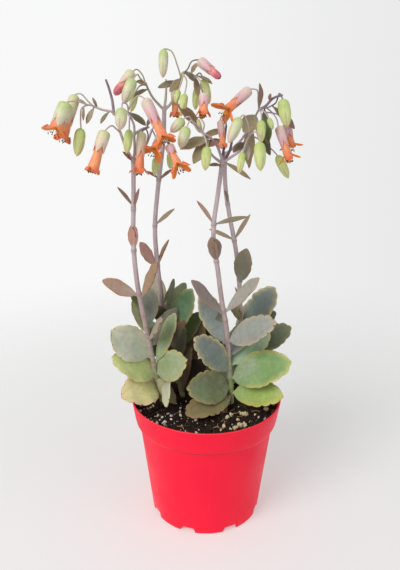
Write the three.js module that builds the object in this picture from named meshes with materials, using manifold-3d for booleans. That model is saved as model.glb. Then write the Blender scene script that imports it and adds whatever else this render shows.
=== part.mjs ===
// Potted kalanchoe: a red nursery pot, potting soil, four flowering stems with
// scalloped fleshy leaves, and hanging bell flowers and buds.
//
// Millimetres, +Z up. The origin is the centre of the pot's underside, on the
// surface that the pot stands on. -Y is the front of the plant, +X its right.

import * as THREE from 'three';
import { mergeVertices } from 'three/addons/utils/BufferGeometryUtils.js';
import Module from 'manifold-3d';

const wasm = await Module();
wasm.setup();

// ---------------------------------------------------------------- dimensions

const POT = {
  height: 92,
  rimRadius: 55,
  bandHeight: 18.5,
  bandFootRadius: 52,
  shoulderRadius: 49.5,
  footRadius: 40.5,
  wall: 1.1,
  floorDiscRadius: 28,
  floorLift: 4,
  notches: 8,
  notchWidth: 10.8,
  notchHeight: 3.5,
  firstNotchDegrees: -108,
  drainRadius: 4,
  sides: 48,
};
const SOIL_LEVEL = 84;
const SOIL_CROWN = 1.2;
const ROOT_DEPTH = 22;
const SOCKET_CLEARANCE = 0.5;
const GAP = 0.3;

const STALK = { lowerRadius: 1.9, upperRadius: 1.5, sides: 8 };
const BRANCH_RADIUS = 0.9;
const PEDICEL_RADIUS = 0.45;
const LEAF_THICKNESS = 2.2;
const PETIOLE_WIDTH = 3;

const COLOURS = {
  pot: 0xe0182f,
  soil: 0x2c211a,
  stem: 0x9c8a92,
  leaf: 0x8fa883,
  bud: 0xb4c98f,
  flower: 0xe8774d,
};

// ------------------------------------------------------------ the four stems
// Each stalk rises from the soil to its fork. Branches carry the flower heads.

const STEMS = {
  a: {
    name: 'stem_front_left',
    stalk: [
      [-33, 3, SOIL_LEVEL - ROOT_DEPTH], [-33, 3, 84], [-34, 0, 95], [-37, -3, 110], [-40, -6, 130],
      [-43, -9, 151], [-47, -12, 177], [-49, -14, 203], [-49, -15, 220], [-48, -17, 240], [-47, -20, 266],
    ],
    branches: [
      [[-47, -20, 265], [-51, -23, 274], [-54, -26, 284], [-57, -28, 295], [-64, -29, 297], [-69, -30, 299]],
      [[-57, -28, 294], [-58, -26, 302], [-60, -24, 309], [-62, -22, 314]],
      [[-47, -20, 265], [-46, -20, 272], [-46, -21, 280], [-46, -22, 288], [-50, -22, 296]],
      [[-47, -20, 265], [-43, -17, 269], [-39, -12, 276], [-36, -8, 284]],
    ],
  },
  b: {
    name: 'stem_back_left',
    stalk: [
      [-18, 10, SOIL_LEVEL - ROOT_DEPTH], [-18, 10, 84], [-21, 14, 99], [-27, 18, 123], [-32, 17, 148],
      [-34, 16, 168], [-36, 14, 190], [-37, 12, 216], [-34, 10, 246], [-30, 7, 276], [-29, 5, 296],
    ],
    branches: [
      [[-29, 5, 295], [-36, 1, 303], [-39, -1, 309], [-40, -2, 312]],
      [[-29, 5, 295], [-28, 8, 305], [-28, 10, 314]],
      [[-29, 5, 295], [-25, 8, 299], [-21, 8, 306], [-19, 5, 313], [-17, 2, 318]],
      [[-17, 2, 318], [-13, 3, 318], [-9, 4, 316]],
    ],
  },
  c: {
    name: 'stem_front_right',
    stalk: [
      [19, 2, SOIL_LEVEL - ROOT_DEPTH], [19, 2, 84], [18, 0, 100], [16, -3, 122], [14, -5, 146],
      [10, -7, 169], [7, -8, 191], [4, -9, 210], [4, -10, 225], [6, -10, 241], [9, -12, 266],
    ],
    branches: [
      [[9, -12, 265], [5, -15, 275], [0, -19, 281], [-4, -22, 283]],
      [[9, -12, 265], [10, -10, 278], [11, -10, 287]],
      [[9, -12, 264], [13, -10, 270], [15, -8, 278], [17, -6, 287]],
      [[9, -12, 264], [15, -13, 268], [21, -15, 273], [25, -18, 282]],
    ],
  },
  d: {
    name: 'stem_back_right',
    stalk: [
      [29, 22, SOIL_LEVEL - ROOT_DEPTH], [29, 22, 84], [29, 22, 100], [28, 21, 119], [25, 20, 148],
      [23, 18, 176], [20, 16, 199], [15, 14, 224], [12, 12, 242], [11, 10, 259], [12, 10, 268],
    ],
    branches: [
      [[12, 10, 267], [21, 12, 275], [28, 8, 287], [32, 2, 296]],
      [[32, 2, 296], [35, 4, 297], [38, 6, 297]],
    ],
  },
};

// ------------------------------------------------------------------- leaves
// [name, stem, height of the joint on the stalk, tip, width, way the upper
//  face looks, rise of the middle above the straight line from base to tip]

const LEAVES = [
  ['leaf_a01', 'a', 98, [-58, -29, 106], 25, [-0.1, -0.75, 0.65], 2],
  ['leaf_a02', 'a', 109, [-65, -20, 132], 23, [0.15, -0.7, 0.7], 2],
  ['leaf_a03', 'a', 111, [-15, -22, 131], 23, [-0.3, -0.85, 0.45], 1],
  ['leaf_a04', 'a', 126, [-66, -18, 149], 25, [0.25, -0.85, 0.45], 1],
  ['leaf_a05', 'a', 121, [-22, -14, 161], 14, [-0.75, -0.65, 0.15], -1],
  ['leaf_a06', 'a', 141, [-30, -30, 164], 11, [-0.6, -0.45, 0.65], -1],
  ['leaf_a07', 'a', 149, [-40, 8, 172], 14, [0.1, -0.95, 0.25], -1],
  ['leaf_a08', 'a', 144, [-53, 6, 165], 11, [0.5, -0.8, 0.3], 0],
  ['leaf_a09', 'a', 175, [-69, -22, 187], 12, [0.1, -0.6, 0.8], -1],
  ['leaf_a10', 'a', 174, [-34, -20, 199], 10, [-0.75, -0.6, 0.25], -1],
  ['leaf_b01', 'b', 110, [-27, -26, 96], 12, [-0.7, -0.6, 0.35], 3],
  ['leaf_b02', 'b', 90, [-11, 6, 127], 12, [-0.85, -0.5, 0.1], 1],
  ['leaf_b03', 'b', 112, [-15, 2, 143], 13, [-0.75, -0.6, 0.25], 0],
  ['leaf_b04', 'b', 120, [-6, 24, 148], 14, [-0.3, -0.9, 0.35], 0],
  ['leaf_b05', 'b', 133, [-11, 10, 171], 19, [-0.45, -0.85, 0.3], 0],
  ['leaf_b06', 'b', 150, [-41, 30, 178], 14, [0.15, -0.95, 0.25], -1],
  ['leaf_b07', 'b', 189, [-47, 4, 206], 9, [0.4, -0.75, 0.5], -1],
  ['leaf_c01', 'c', 91, [-13, -31, 92], 20, [0.05, -0.65, 0.75], 3],
  ['leaf_c02', 'c', 94, [53, -24, 105], 21, [-0.05, -0.75, 0.65], 2],
  ['leaf_c03', 'c', 98, [-13, -24, 111], 25, [0.1, -0.85, 0.5], 2],
  ['leaf_c04', 'c', 107, [57, -24, 131], 27, [-0.1, -0.75, 0.65], 1],
  ['leaf_c05', 'c', 114, [-7, -22, 148], 20, [0.35, -0.85, 0.4], 1],
  ['leaf_c06', 'c', 117, [46, 12, 138], 18, [-0.2, -0.8, 0.55], 0],
  ['leaf_c07', 'c', 136, [-3, -2, 173], 18, [0.3, -0.9, 0.3], -3],
  ['leaf_c08', 'c', 138, [45, -30, 161], 20, [-0.2, -0.75, 0.6], 1],
  ['leaf_c09', 'c', 161, [-10, -19, 186], 12, [0.45, -0.55, 0.7], -1],
  ['leaf_c10', 'c', 161, [34, -14, 188], 12, [-0.55, -0.5, 0.65], -1],
  ['leaf_d01', 'd', 119, [62, 16, 139], 19, [-0.1, -0.9, 0.4], 0],
  ['leaf_d02', 'd', 136, [48, 12, 172], 21, [-0.4, -0.85, 0.35], 0],
  ['leaf_d03', 'd', 176, [26, 4, 203], 13, [-0.2, -0.95, 0.2], 1],
];

// --------------------------------------------------------- flowers and buds
// [name, shape, stem, pedicel from its branch to the flower's neck, tip, width]

const FLOWERS = [
  ['open_flower_a1', 'open', 'a', [[-68, -30, 299], [-72, -33, 300], [-77, -37, 302], [-82, -40, 302]],
    [-89.5, -46, 284.5], 9],
  ['open_flower_a2', 'open', 'a', [[-69, -30, 299], [-72, -30, 302], [-76, -30, 306], [-79, -30, 306]],
    [-88, -34, 279], 8],
  ['bud_a1', 'bud', 'a', [[-71, -32, 300], [-75, -34, 298], [-76, -34, 292], [-76, -34, 287]],
    [-79, -36, 270], 7.5],
  ['open_flower_a3', 'slim', 'a', [[-53, -25, 282], [-56, -29, 286], [-58, -33, 288], [-61, -37, 286]],
    [-69, -44, 262], 8],
  ['bud_a2', 'bud', 'a', [[-49, -22, 295], [-49, -28, 300], [-51, -33, 301], [-51, -36, 299]],
    [-52, -40, 286], 8],
  ['bud_a3', 'bud', 'a', [[-48, -22, 292], [-48, -26, 292], [-48, -28, 286]],
    [-50, -29, 271], 6],
  ['open_flower_a4', 'open', 'a', [[-39, -12, 276], [-38, -15, 281], [-39, -20, 285], [-41, -22, 284]],
    [-43, -27, 259], 7],
  ['open_flower_a5', 'open', 'a', [[-50, -22, 295], [-46, -26, 301], [-42, -30, 305], [-38, -33, 304]],
    [-25, -42, 279], 8],
  ['bud_b1', 'slim', 'b', [[-40, -2, 311], [-42, -4, 317], [-45, -6, 320], [-47, -8, 319]],
    [-58, -16, 305], 6.8],
  ['bud_b2', 'bud', 'b', [[-40, -2, 311], [-43, -8, 315], [-44, -14, 317], [-46, -16, 315]],
    [-52, -21, 300], 8],
  ['bud_b3', 'bud', 'b', [[-18, 3, 315], [-20, 1, 322], [-24, 0, 331], [-28.5, -1, 332.5]],
    [-29, -4, 315], 6.8],
  ['bud_b4', 'slim', 'b', [[-17, 2, 318], [-14, 1, 320], [-11, 0, 325], [-7, -2, 326]],
    [7, -8, 315], 6.3],
  ['bud_b5', 'bud', 'b', [[-9, 4, 316], [-6, 5, 318], [-4, 5, 315]],
    [0, 4, 299], 6.5],
  ['open_flower_b1', 'open', 'b', [[-9, 4, 316], [-7, -8, 315], [-4, -18, 311], [-3, -20, 307]],
    [-3.5, -25, 293.5], 7],
  ['open_flower_b2', 'open', 'b', [[-30, 7, 288], [-28, -20, 287], [-26, -35, 282], [-24, -38, 278]],
    [-16, -46, 263], 6.5],
  ['bud_c1', 'bud', 'c', [[-4, -22, 283], [-9, -23, 288], [-12, -25, 293], [-15, -26, 292]],
    [-23, -29, 284], 7],
  ['bud_c2', 'bud', 'c', [[-3, -21, 283], [-8, -27, 289], [-11, -29, 291], [-13, -30, 288]],
    [-17, -33, 275], 7.5],
  ['bud_c3', 'bud', 'c', [[-4, -22, 283], [-2, -25, 280], [-1, -26, 276]],
    [-2, -28, 261], 7],
  ['open_flower_c1', 'open', 'c', [[11, -10, 286], [10, -13, 292], [8, -15, 293], [7, -16, 291]],
    [9, -18, 274], 5],
  ['bud_c4', 'bud', 'c', [[25, -18, 281], [24, -20, 288], [21, -23, 294], [19, -24, 293]],
    [12, -30, 278], 7.5],
  ['bud_c5', 'bud', 'c', [[24, -17, 280], [28, -22, 284], [31, -25, 283], [31, -26, 279]],
    [32, -28, 261], 8],
  ['open_flower_d1', 'open', 'd', [[32, 2, 296], [31, -2, 302], [30, -5, 308], [26, -6, 309]],
    [8, -16, 294], 7.5],
  ['bud_d1', 'bud', 'd', [[38, 6, 297], [43, 6, 300], [45, 4, 306], [47, 4, 303]],
    [51, 4, 285], 9],
  ['open_flower_d2', 'open', 'd', [[37, 6, 297], [41, 8, 294], [44, 6, 290], [45, 4, 286]],
    [53, -2, 264], 7],
];

// Outlines of a flower from its neck to its mouth: [share of the half width,
// share of the length]. The calyx is the swollen part above the petals.
const OUTLINES = {
  bud: [[0, 0], [0.5, 0.04], [0.9, 0.2], [1, 0.42], [0.8, 0.68], [0.42, 0.9], [0, 1]],
  slim: [[0, 0], [0.55, 0.03], [0.95, 0.16], [1, 0.38], [0.72, 0.62], [0.5, 0.86], [0, 1]],
  open: [[0, 0], [0.55, 0.03], [1, 0.16], [0.95, 0.38], [0.62, 0.58], [0.7, 0.74], [1.15, 0.9], [0, 1]],
};
const FLOWER_SIDES = 8;

// ----------------------------------------------------------------- helpers

const vector = (point) => new THREE.Vector3(...point);

function toSolid(geometry) {
  const bare = geometry.clone();
  bare.deleteAttribute('normal');
  bare.deleteAttribute('uv');
  const merged = mergeVertices(bare, 1e-4);
  return new wasm.Manifold(new wasm.Mesh({
    numProp: 3,
    vertProperties: new Float32Array(merged.attributes.position.array),
    triVerts: new Uint32Array(merged.index.array),
  }));
}

function toGeometry(solid) {
  const { vertProperties, triVerts } = solid.getMesh();
  const geometry = new THREE.BufferGeometry();
  geometry.setAttribute('position', new THREE.BufferAttribute(vertProperties, 3));
  geometry.setIndex(new THREE.BufferAttribute(triVerts, 1));
  return geometry;
}

function named(name, geometry, colour, roughness) {
  const material = new THREE.MeshStandardMaterial({ color: colour, roughness, metalness: 0 });
  const mesh = new THREE.Mesh(geometry, material);
  mesh.name = name;
  return mesh;
}

// A round rod of one radius along a smooth curve through the points.
function rod(points, radius, sides) {
  const curve = new THREE.CatmullRomCurve3(points.map(vector), false, 'centripetal');
  const ring = [];
  for (let i = 0; i < sides; i += 1) {
    const turn = (i / sides) * Math.PI * 2;
    ring.push(new THREE.Vector2(radius * Math.cos(turn), radius * Math.sin(turn)));
  }
  return new THREE.ExtrudeGeometry(new THREE.Shape(ring), {
    steps: Math.max(2, points.length),
    extrudePath: curve,
    bevelEnabled: false,
  });
}

// The point where a stalk crosses a given height.
function onStalk(stem, height) {
  const { stalk } = STEMS[stem];
  const upper = stalk.findIndex((point) => point[2] > height);
  const low = vector(stalk[upper - 1]);
  const high = vector(stalk[upper]);
  return low.lerp(high, (height - low.z) / (high.z - low.z));
}

// --------------------------------------------------------------- pot, soil

function potGeometry() {
  const bandBase = POT.height - POT.bandHeight;
  const inner = (radius) => radius - POT.wall;
  const profile = [
    [0, 0],
    [POT.floorDiscRadius, 0],
    [POT.floorDiscRadius + 1, POT.floorLift],
    [inner(POT.footRadius), POT.floorLift],
    [inner(POT.footRadius), 0],
    [POT.footRadius, 0],
    [POT.shoulderRadius, bandBase],
    [POT.bandFootRadius, bandBase],
    [POT.rimRadius, POT.height],
    [inner(POT.rimRadius), POT.height],
    [inner(POT.bandFootRadius), bandBase + POT.wall],
    [inner(POT.shoulderRadius), bandBase + POT.wall],
    [inner(POT.footRadius) + 0.6, POT.floorLift + POT.wall],
    [POT.floorDiscRadius - 1, POT.floorLift + POT.wall],
    [POT.floorDiscRadius - 2, POT.wall],
    [0, POT.wall],
  ];
  const turned = new THREE.LatheGeometry(profile.map(([r, z]) => new THREE.Vector2(r, z)), POT.sides);
  turned.rotateX(Math.PI / 2);
  let pot = toSolid(turned);
  const channelRadius = (POT.floorDiscRadius + inner(POT.footRadius)) / 2 + 0.5;
  for (let i = 0; i < POT.notches; i += 1) {
    const turn = THREE.MathUtils.degToRad(POT.firstNotchDegrees + (i * 360) / POT.notches);
    const notch = new THREE.BoxGeometry(8, POT.notchWidth, POT.notchHeight * 2);
    notch.translate(POT.footRadius, 0, 0).rotateZ(turn);
    const drain = new THREE.CylinderGeometry(POT.drainRadius, POT.drainRadius, 6, 12);
    drain.rotateX(Math.PI / 2);
    drain.translate(channelRadius, 0, POT.floorLift).rotateZ(turn + Math.PI / POT.notches);
    pot = pot.subtract(toSolid(notch)).subtract(toSolid(drain));
  }
  return toGeometry(pot);
}

function soilGeometry() {
  const bandBase = POT.height - POT.bandHeight;
  const inside = (radius) => radius - POT.wall - GAP;
  const slope = (POT.rimRadius - POT.bandFootRadius) / POT.bandHeight;
  const topRadius = inside(POT.bandFootRadius) + slope * (SOIL_LEVEL - bandBase - POT.wall);
  const profile = [
    [0, POT.wall + GAP],
    [POT.floorDiscRadius - 2 - GAP, POT.wall + GAP],
    [POT.floorDiscRadius - 1 - GAP, POT.floorLift + POT.wall + GAP],
    [inside(POT.footRadius) + 0.5, POT.floorLift + POT.wall + GAP],
    [inside(POT.shoulderRadius), bandBase + POT.wall + GAP],
    [inside(POT.bandFootRadius), bandBase + POT.wall + GAP],
    [topRadius, SOIL_LEVEL],
    [topRadius * 0.6, SOIL_LEVEL + SOIL_CROWN * 0.7],
    [0, SOIL_LEVEL + SOIL_CROWN],
  ];
  const turned = new THREE.LatheGeometry(profile.map(([r, z]) => new THREE.Vector2(r, z)), 32);
  turned.rotateX(Math.PI / 2);
  let soil = toSolid(turned);
  for (const { stalk } of Object.values(STEMS)) {
    const [[x, y, z], ...rest] = stalk.slice(0, 6);
    const socket = rod([[x, y, z - GAP], ...rest], STALK.lowerRadius + SOCKET_CLEARANCE, STALK.sides);
    soil = soil.subtract(toSolid(socket));
  }
  return toGeometry(soil);
}

// ------------------------------------------------------- stems with pedicels

function stemGeometry(key) {
  const { stalk, branches } = STEMS[key];
  let stem = toSolid(rod(stalk.slice(0, 6), STALK.lowerRadius, STALK.sides));
  stem = stem.add(toSolid(rod(stalk.slice(4), STALK.upperRadius, STALK.sides)));
  for (const branch of branches) {
    stem = stem.add(toSolid(rod(branch, BRANCH_RADIUS, 6)));
  }
  for (const [, , owner, pedicel] of FLOWERS) {
    if (owner === key) stem = stem.add(toSolid(rod(pedicel, PEDICEL_RADIUS, 5)));
  }
  return toGeometry(stem);
}

// -------------------------------------------------------------------- leaf
// A squashed sphere drawn out from the leaf's joint to its tip: narrow at the
// petiole, widest past the middle, round at the tip and thick along the keel.

function leafGeometry([, stem, height, tipPoint, width, facing, rise]) {
  const joint = onStalk(stem, height);
  const tip = vector(tipPoint);
  const reach = tip.clone().sub(joint).normalize();
  const stalkWay = onStalk(stem, height + 1).sub(joint).normalize();
  const outward = reach.clone().addScaledVector(stalkWay, -reach.dot(stalkWay)).normalize();
  const base = joint.clone().addScaledVector(outward, STALK.lowerRadius + GAP * 2);
  const along = tip.clone().sub(base).normalize();
  const length = base.distanceTo(tip);
  const up = vector(facing).addScaledVector(along, -vector(facing).dot(along)).normalize();
  const side = new THREE.Vector3().crossVectors(up, along);
  const geometry = new THREE.SphereGeometry(1, 10, 7);
  const position = geometry.attributes.position;
  for (let i = 0; i < position.count; i += 1) {
    const unit = new THREE.Vector3().fromBufferAttribute(position, i);
    const share = (1 - unit.y) / 2;
    const ring = Math.hypot(unit.x, unit.z);
    const across = ring > 1e-6 ? unit.x / ring : 0;
    const through = ring > 1e-6 ? unit.z / ring : 0;
    const blade = Math.max(0, Math.sin(Math.PI * share ** 1.25)) ** 0.6 * (width / 2);
    const petiole = ring * (PETIOLE_WIDTH / 2);
    const halfWidth = Math.max(blade, share < 0.15 ? petiole : 0);
    const halfThickness = (LEAF_THICKNESS / 2) * Math.min(1, ring * 1.2);
    const point = base.clone()
      .addScaledVector(along, share * length)
      .addScaledVector(side, across * halfWidth)
      .addScaledVector(up, through * halfThickness + rise * 4 * share * (1 - share));
    position.setXYZ(i, point.x, point.y, point.z);
  }
  return toGeometry(toSolid(geometry));
}

// ------------------------------------------------------------------ flower

function flowerGeometry([, shape, , pedicel, tipPoint, width]) {
  const neck = vector(pedicel.at(-1));
  const tip = vector(tipPoint);
  const along = tip.clone().sub(neck).normalize();
  const start = neck.addScaledVector(along, GAP + PEDICEL_RADIUS * 0.5);
  const length = start.distanceTo(tip);
  const outline = OUTLINES[shape].map(([r, t]) => new THREE.Vector2(r * (width / 2), t * length));
  const geometry = new THREE.LatheGeometry(outline, FLOWER_SIDES);
  geometry.applyQuaternion(new THREE.Quaternion().setFromUnitVectors(new THREE.Vector3(0, 1, 0), along));
  geometry.translate(start.x, start.y, start.z);
  return toGeometry(toSolid(geometry));
}

// ---------------------------------------------------------------- assembly

const plant = new THREE.Group();
plant.add(named('pot', potGeometry(), COLOURS.pot, 0.45));
plant.add(named('soil', soilGeometry(), COLOURS.soil, 0.95));
for (const [key, { name }] of Object.entries(STEMS)) {
  plant.add(named(name, stemGeometry(key), COLOURS.stem, 0.7));
}
for (const leaf of LEAVES) {
  plant.add(named(leaf[0], leafGeometry(leaf), COLOURS.leaf, 0.6));
}
for (const flower of FLOWERS) {
  const colour = flower[1] === 'open' ? COLOURS.flower : COLOURS.bud;
  plant.add(named(flower[0], flowerGeometry(flower), colour, 0.55));
}

export default plant;
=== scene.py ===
"""Potted kalanchoe: the visible plant, pot and soil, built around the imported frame.

All shapes are made in millimetres and turned into metres when a mesh is made.
-Y is the front of the plant, +X its right, +Z up.
"""

import random
from math import cos, exp, hypot, pi, radians, sin, sqrt

import bmesh
import bpy
import numpy as np
from bpy.types import NodeSocket, Operator, Panel, PropertyGroup
from mathutils import Euler, Matrix, Vector, noise
from mathutils.kdtree import KDTree
from numpy.linalg import norm


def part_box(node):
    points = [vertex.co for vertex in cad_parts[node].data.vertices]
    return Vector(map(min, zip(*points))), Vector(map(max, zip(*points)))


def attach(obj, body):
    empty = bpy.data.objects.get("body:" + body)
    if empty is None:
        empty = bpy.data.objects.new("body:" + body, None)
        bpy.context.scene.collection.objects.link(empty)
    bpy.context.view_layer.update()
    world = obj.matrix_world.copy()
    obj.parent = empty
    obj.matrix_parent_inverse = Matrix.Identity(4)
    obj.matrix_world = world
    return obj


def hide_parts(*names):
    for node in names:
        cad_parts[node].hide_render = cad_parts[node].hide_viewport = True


bl_info = {
    "name": "Potted kalanchoe",
    "version": (1, 0, 0),
    "blender": (4, 5, 0),
    "location": "3D View > Sidebar > Kalanchoe",
    "description": "Builds a flowering potted kalanchoe around its packed frame",
    "category": "Object",
}

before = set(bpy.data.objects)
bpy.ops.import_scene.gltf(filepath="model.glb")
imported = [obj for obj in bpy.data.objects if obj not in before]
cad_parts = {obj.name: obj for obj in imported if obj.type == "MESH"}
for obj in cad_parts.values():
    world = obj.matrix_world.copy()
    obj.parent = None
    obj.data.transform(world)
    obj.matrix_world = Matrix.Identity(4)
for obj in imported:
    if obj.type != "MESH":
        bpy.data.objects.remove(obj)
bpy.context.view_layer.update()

MM = 0.001
UP = np.array([0.0, 0.0, 1.0])
TOWARDS_LIGHT = np.array([0.0, -0.8, 0.5])

# ------------------------------------------------------------------ routes
# Centre lines of the stalks, branches and flower stalks, as in the frame.

STALKS = {
    "a": [(-33, 3, 64), (-33, 3, 84), (-34, 0, 95), (-37, -3, 110), (-40, -6, 130), (-43, -9, 151),
          (-47, -12, 177), (-49, -14, 203), (-49, -15, 220), (-48, -17, 240), (-47, -20, 266)],
    "b": [(-18, 10, 64), (-18, 10, 84), (-21, 14, 99), (-27, 18, 123), (-32, 17, 148), (-34, 16, 168),
          (-36, 14, 190), (-37, 12, 216), (-34, 10, 246), (-30, 7, 276), (-29, 5, 296)],
    "c": [(19, 2, 64), (19, 2, 84), (18, 0, 100), (16, -3, 122), (14, -5, 146), (10, -7, 169),
          (7, -8, 191), (4, -9, 210), (4, -10, 225), (6, -10, 241), (9, -12, 266)],
    "d": [(29, 22, 64), (29, 22, 84), (29, 22, 100), (28, 21, 119), (25, 20, 148), (23, 18, 176),
          (20, 16, 199), (15, 14, 224), (12, 12, 242), (11, 10, 259), (12, 10, 268)],
}
BRANCHES = {
    "a": [
        [(-47, -20, 265), (-51, -23, 274), (-54, -26, 284), (-57, -28, 295), (-64, -29, 297),
         (-69, -30, 299)],
        [(-57, -28, 294), (-58, -26, 302), (-60, -24, 309), (-62, -22, 314)],
        [(-47, -20, 265), (-46, -20, 272), (-46, -21, 280), (-46, -22, 288), (-50, -22, 296)],
        [(-47, -20, 265), (-43, -17, 269), (-39, -12, 276), (-36, -8, 284)],
        [(-46, -21, 282), (-41, -19, 285), (-37, -17, 286)],
    ],
    "b": [
        [(-29, 5, 295), (-36, 1, 303), (-39, -1, 309), (-40, -2, 312)],
        [(-29, 5, 295), (-28, 8, 305), (-28, 10, 314)],
        [(-29, 5, 295), (-25, 8, 299), (-21, 8, 306), (-19, 5, 313), (-17, 2, 318)],
        [(-17, 2, 318), (-13, 3, 318), (-9, 4, 316)],
    ],
    "c": [
        [(9, -12, 265), (5, -15, 275), (0, -19, 281), (-4, -22, 283)],
        [(9, -12, 265), (10, -10, 278), (11, -10, 287)],
        [(9, -12, 264), (13, -10, 270), (15, -8, 278), (17, -6, 287)],
        [(9, -12, 264), (15, -13, 268), (21, -15, 273), (25, -18, 282)],
        [(8, -12, 264), (3, -14, 268), (0, -16, 272)],
    ],
    "d": [
        [(12, 10, 267), (21, 12, 275), (28, 8, 287), (32, 2, 296)],
        [(32, 2, 296), (35, 4, 297), (38, 6, 297)],
        [(32, 2, 296), (36, 2, 298), (41, 3, 303), (47, 4, 305)],
    ],
}
# Flower node: its stem, and its stalk from the branch to the flower's neck.
FLOWER_STALKS = {
    "open_flower_a1": ("a", [(-68, -30, 299), (-72, -33, 300), (-77, -37, 302), (-82, -40, 302)]),
    "open_flower_a2": ("a", [(-69, -30, 299), (-72, -30, 302), (-76, -30, 306), (-79, -30, 306)]),
    "bud_a1": ("a", [(-71, -32, 300), (-75, -34, 298), (-76, -34, 292), (-76, -34, 287)]),
    "open_flower_a3": ("a", [(-53, -25, 282), (-56, -29, 286), (-58, -33, 288), (-61, -37, 286)]),
    "bud_a2": ("a", [(-49, -22, 295), (-49, -28, 300), (-51, -33, 301), (-51, -36, 299)]),
    "bud_a3": ("a", [(-48, -22, 292), (-48, -26, 292), (-48, -28, 286)]),
    "open_flower_a4": ("a", [(-39, -12, 276), (-38, -15, 281), (-39, -20, 285), (-41, -22, 284)]),
    "open_flower_a5": ("a", [(-50, -22, 295), (-46, -26, 301), (-42, -30, 305), (-38, -33, 304)]),
    "bud_b1": ("b", [(-40, -2, 311), (-42, -4, 317), (-45, -6, 320), (-47, -8, 319)]),
    "bud_b2": ("b", [(-40, -2, 311), (-43, -8, 315), (-44, -14, 317), (-46, -16, 315)]),
    "bud_b3": ("b", [(-18, 3, 315), (-20, 1, 322), (-24, 0, 331), (-28.5, -1, 332.5)]),
    "bud_b4": ("b", [(-17, 2, 318), (-14, 1, 320), (-11, 0, 325), (-7, -2, 326)]),
    "bud_b5": ("b", [(-9, 4, 316), (-6, 5, 318), (-4, 5, 315)]),
    "open_flower_b1": ("b", [(-9, 4, 316), (-7, -8, 315), (-4, -18, 311), (-3, -20, 307)]),
    "open_flower_b2": ("b", [(-30, 7, 288), (-28, -20, 287), (-26, -35, 282), (-24, -38, 278)]),
    "bud_c1": ("c", [(-4, -22, 283), (-9, -23, 288), (-12, -25, 293), (-15, -26, 292)]),
    "bud_c2": ("c", [(-3, -21, 283), (-8, -27, 289), (-11, -29, 291), (-13, -30, 288)]),
    "bud_c3": ("c", [(-4, -22, 283), (-2, -25, 280), (-1, -26, 276)]),
    "open_flower_c1": ("c", [(11, -10, 286), (10, -13, 292), (8, -15, 293), (7, -16, 291)]),
    "bud_c4": ("c", [(25, -18, 281), (24, -20, 288), (21, -23, 294), (19, -24, 293)]),
    "bud_c5": ("c", [(24, -17, 280), (28, -22, 284), (31, -25, 283), (31, -26, 279)]),
    "open_flower_d1": ("d", [(32, 2, 296), (31, -2, 302), (30, -5, 308), (26, -6, 309)]),
    "bud_d1": ("d", [(38, 6, 297), (43, 6, 300), (45, 4, 306), (47, 4, 303)]),
    "open_flower_d2": ("d", [(37, 6, 297), (41, 8, 294), (44, 6, 290), (45, 4, 286)]),
}
# Finish, flare and lobe length of each flower; a closed one has no flare.
FLOWER_LOOKS = {
    "open_flower_a1": ("silvery", 0.7, 5.5),
    "open_flower_a2": ("blushed", 0.35, 4.5),
    "open_flower_a3": ("blushed", 0.16, 2.6),
    "open_flower_a4": ("blushed", 0.5, 5.0),
    "open_flower_a5": ("rosy", 0.55, 6.5),
    "open_flower_b1": ("rosy", 0.3, 3.5),
    "open_flower_b2": ("rosy", 0.5, 7.5),
    "open_flower_c1": ("rosy", 0.12, 2.6),
    "open_flower_d1": ("rosy", 0.68, 8.5),
    "open_flower_d2": ("rosy", 0.6, 6.0),
    "bud_a1": ("fresh", 0, 0),
    "bud_a2": ("silvery", 0, 0),
    "bud_a3": ("fresh", 0, 0),
    "bud_b1": ("blushed", 0, 0.3),
    "bud_b2": ("silvery", 0, 0),
    "bud_b3": ("silvery", 0, 0),
    "bud_b4": ("rosy", 0, 0.3),
    "bud_b5": ("fresh", 0, 0),
    "bud_c1": ("silvery", 0, 0),
    "bud_c2": ("silvery", 0, 0),
    "bud_c3": ("fresh", 0, 0),
    "bud_c4": ("silvery", 0, 0),
    "bud_c5": ("fresh", 0, 0),
    "bud_d1": ("fresh", 0, 0),
}
# Share of a flower's length that its calyx covers, where it isn't the usual one.
CALYX_SHARES = {
    "open_flower_a1": 0.82, "open_flower_a2": 0.66, "open_flower_a3": 0.54, "open_flower_b2": 0.38,
}
USUAL_CALYX_SHARE = 0.62
# How much stouter than usual the calyx and tube of a flower are.
STOUT_FLOWERS = {"open_flower_a1": 1.28, "open_flower_a3": 1.22}
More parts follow.
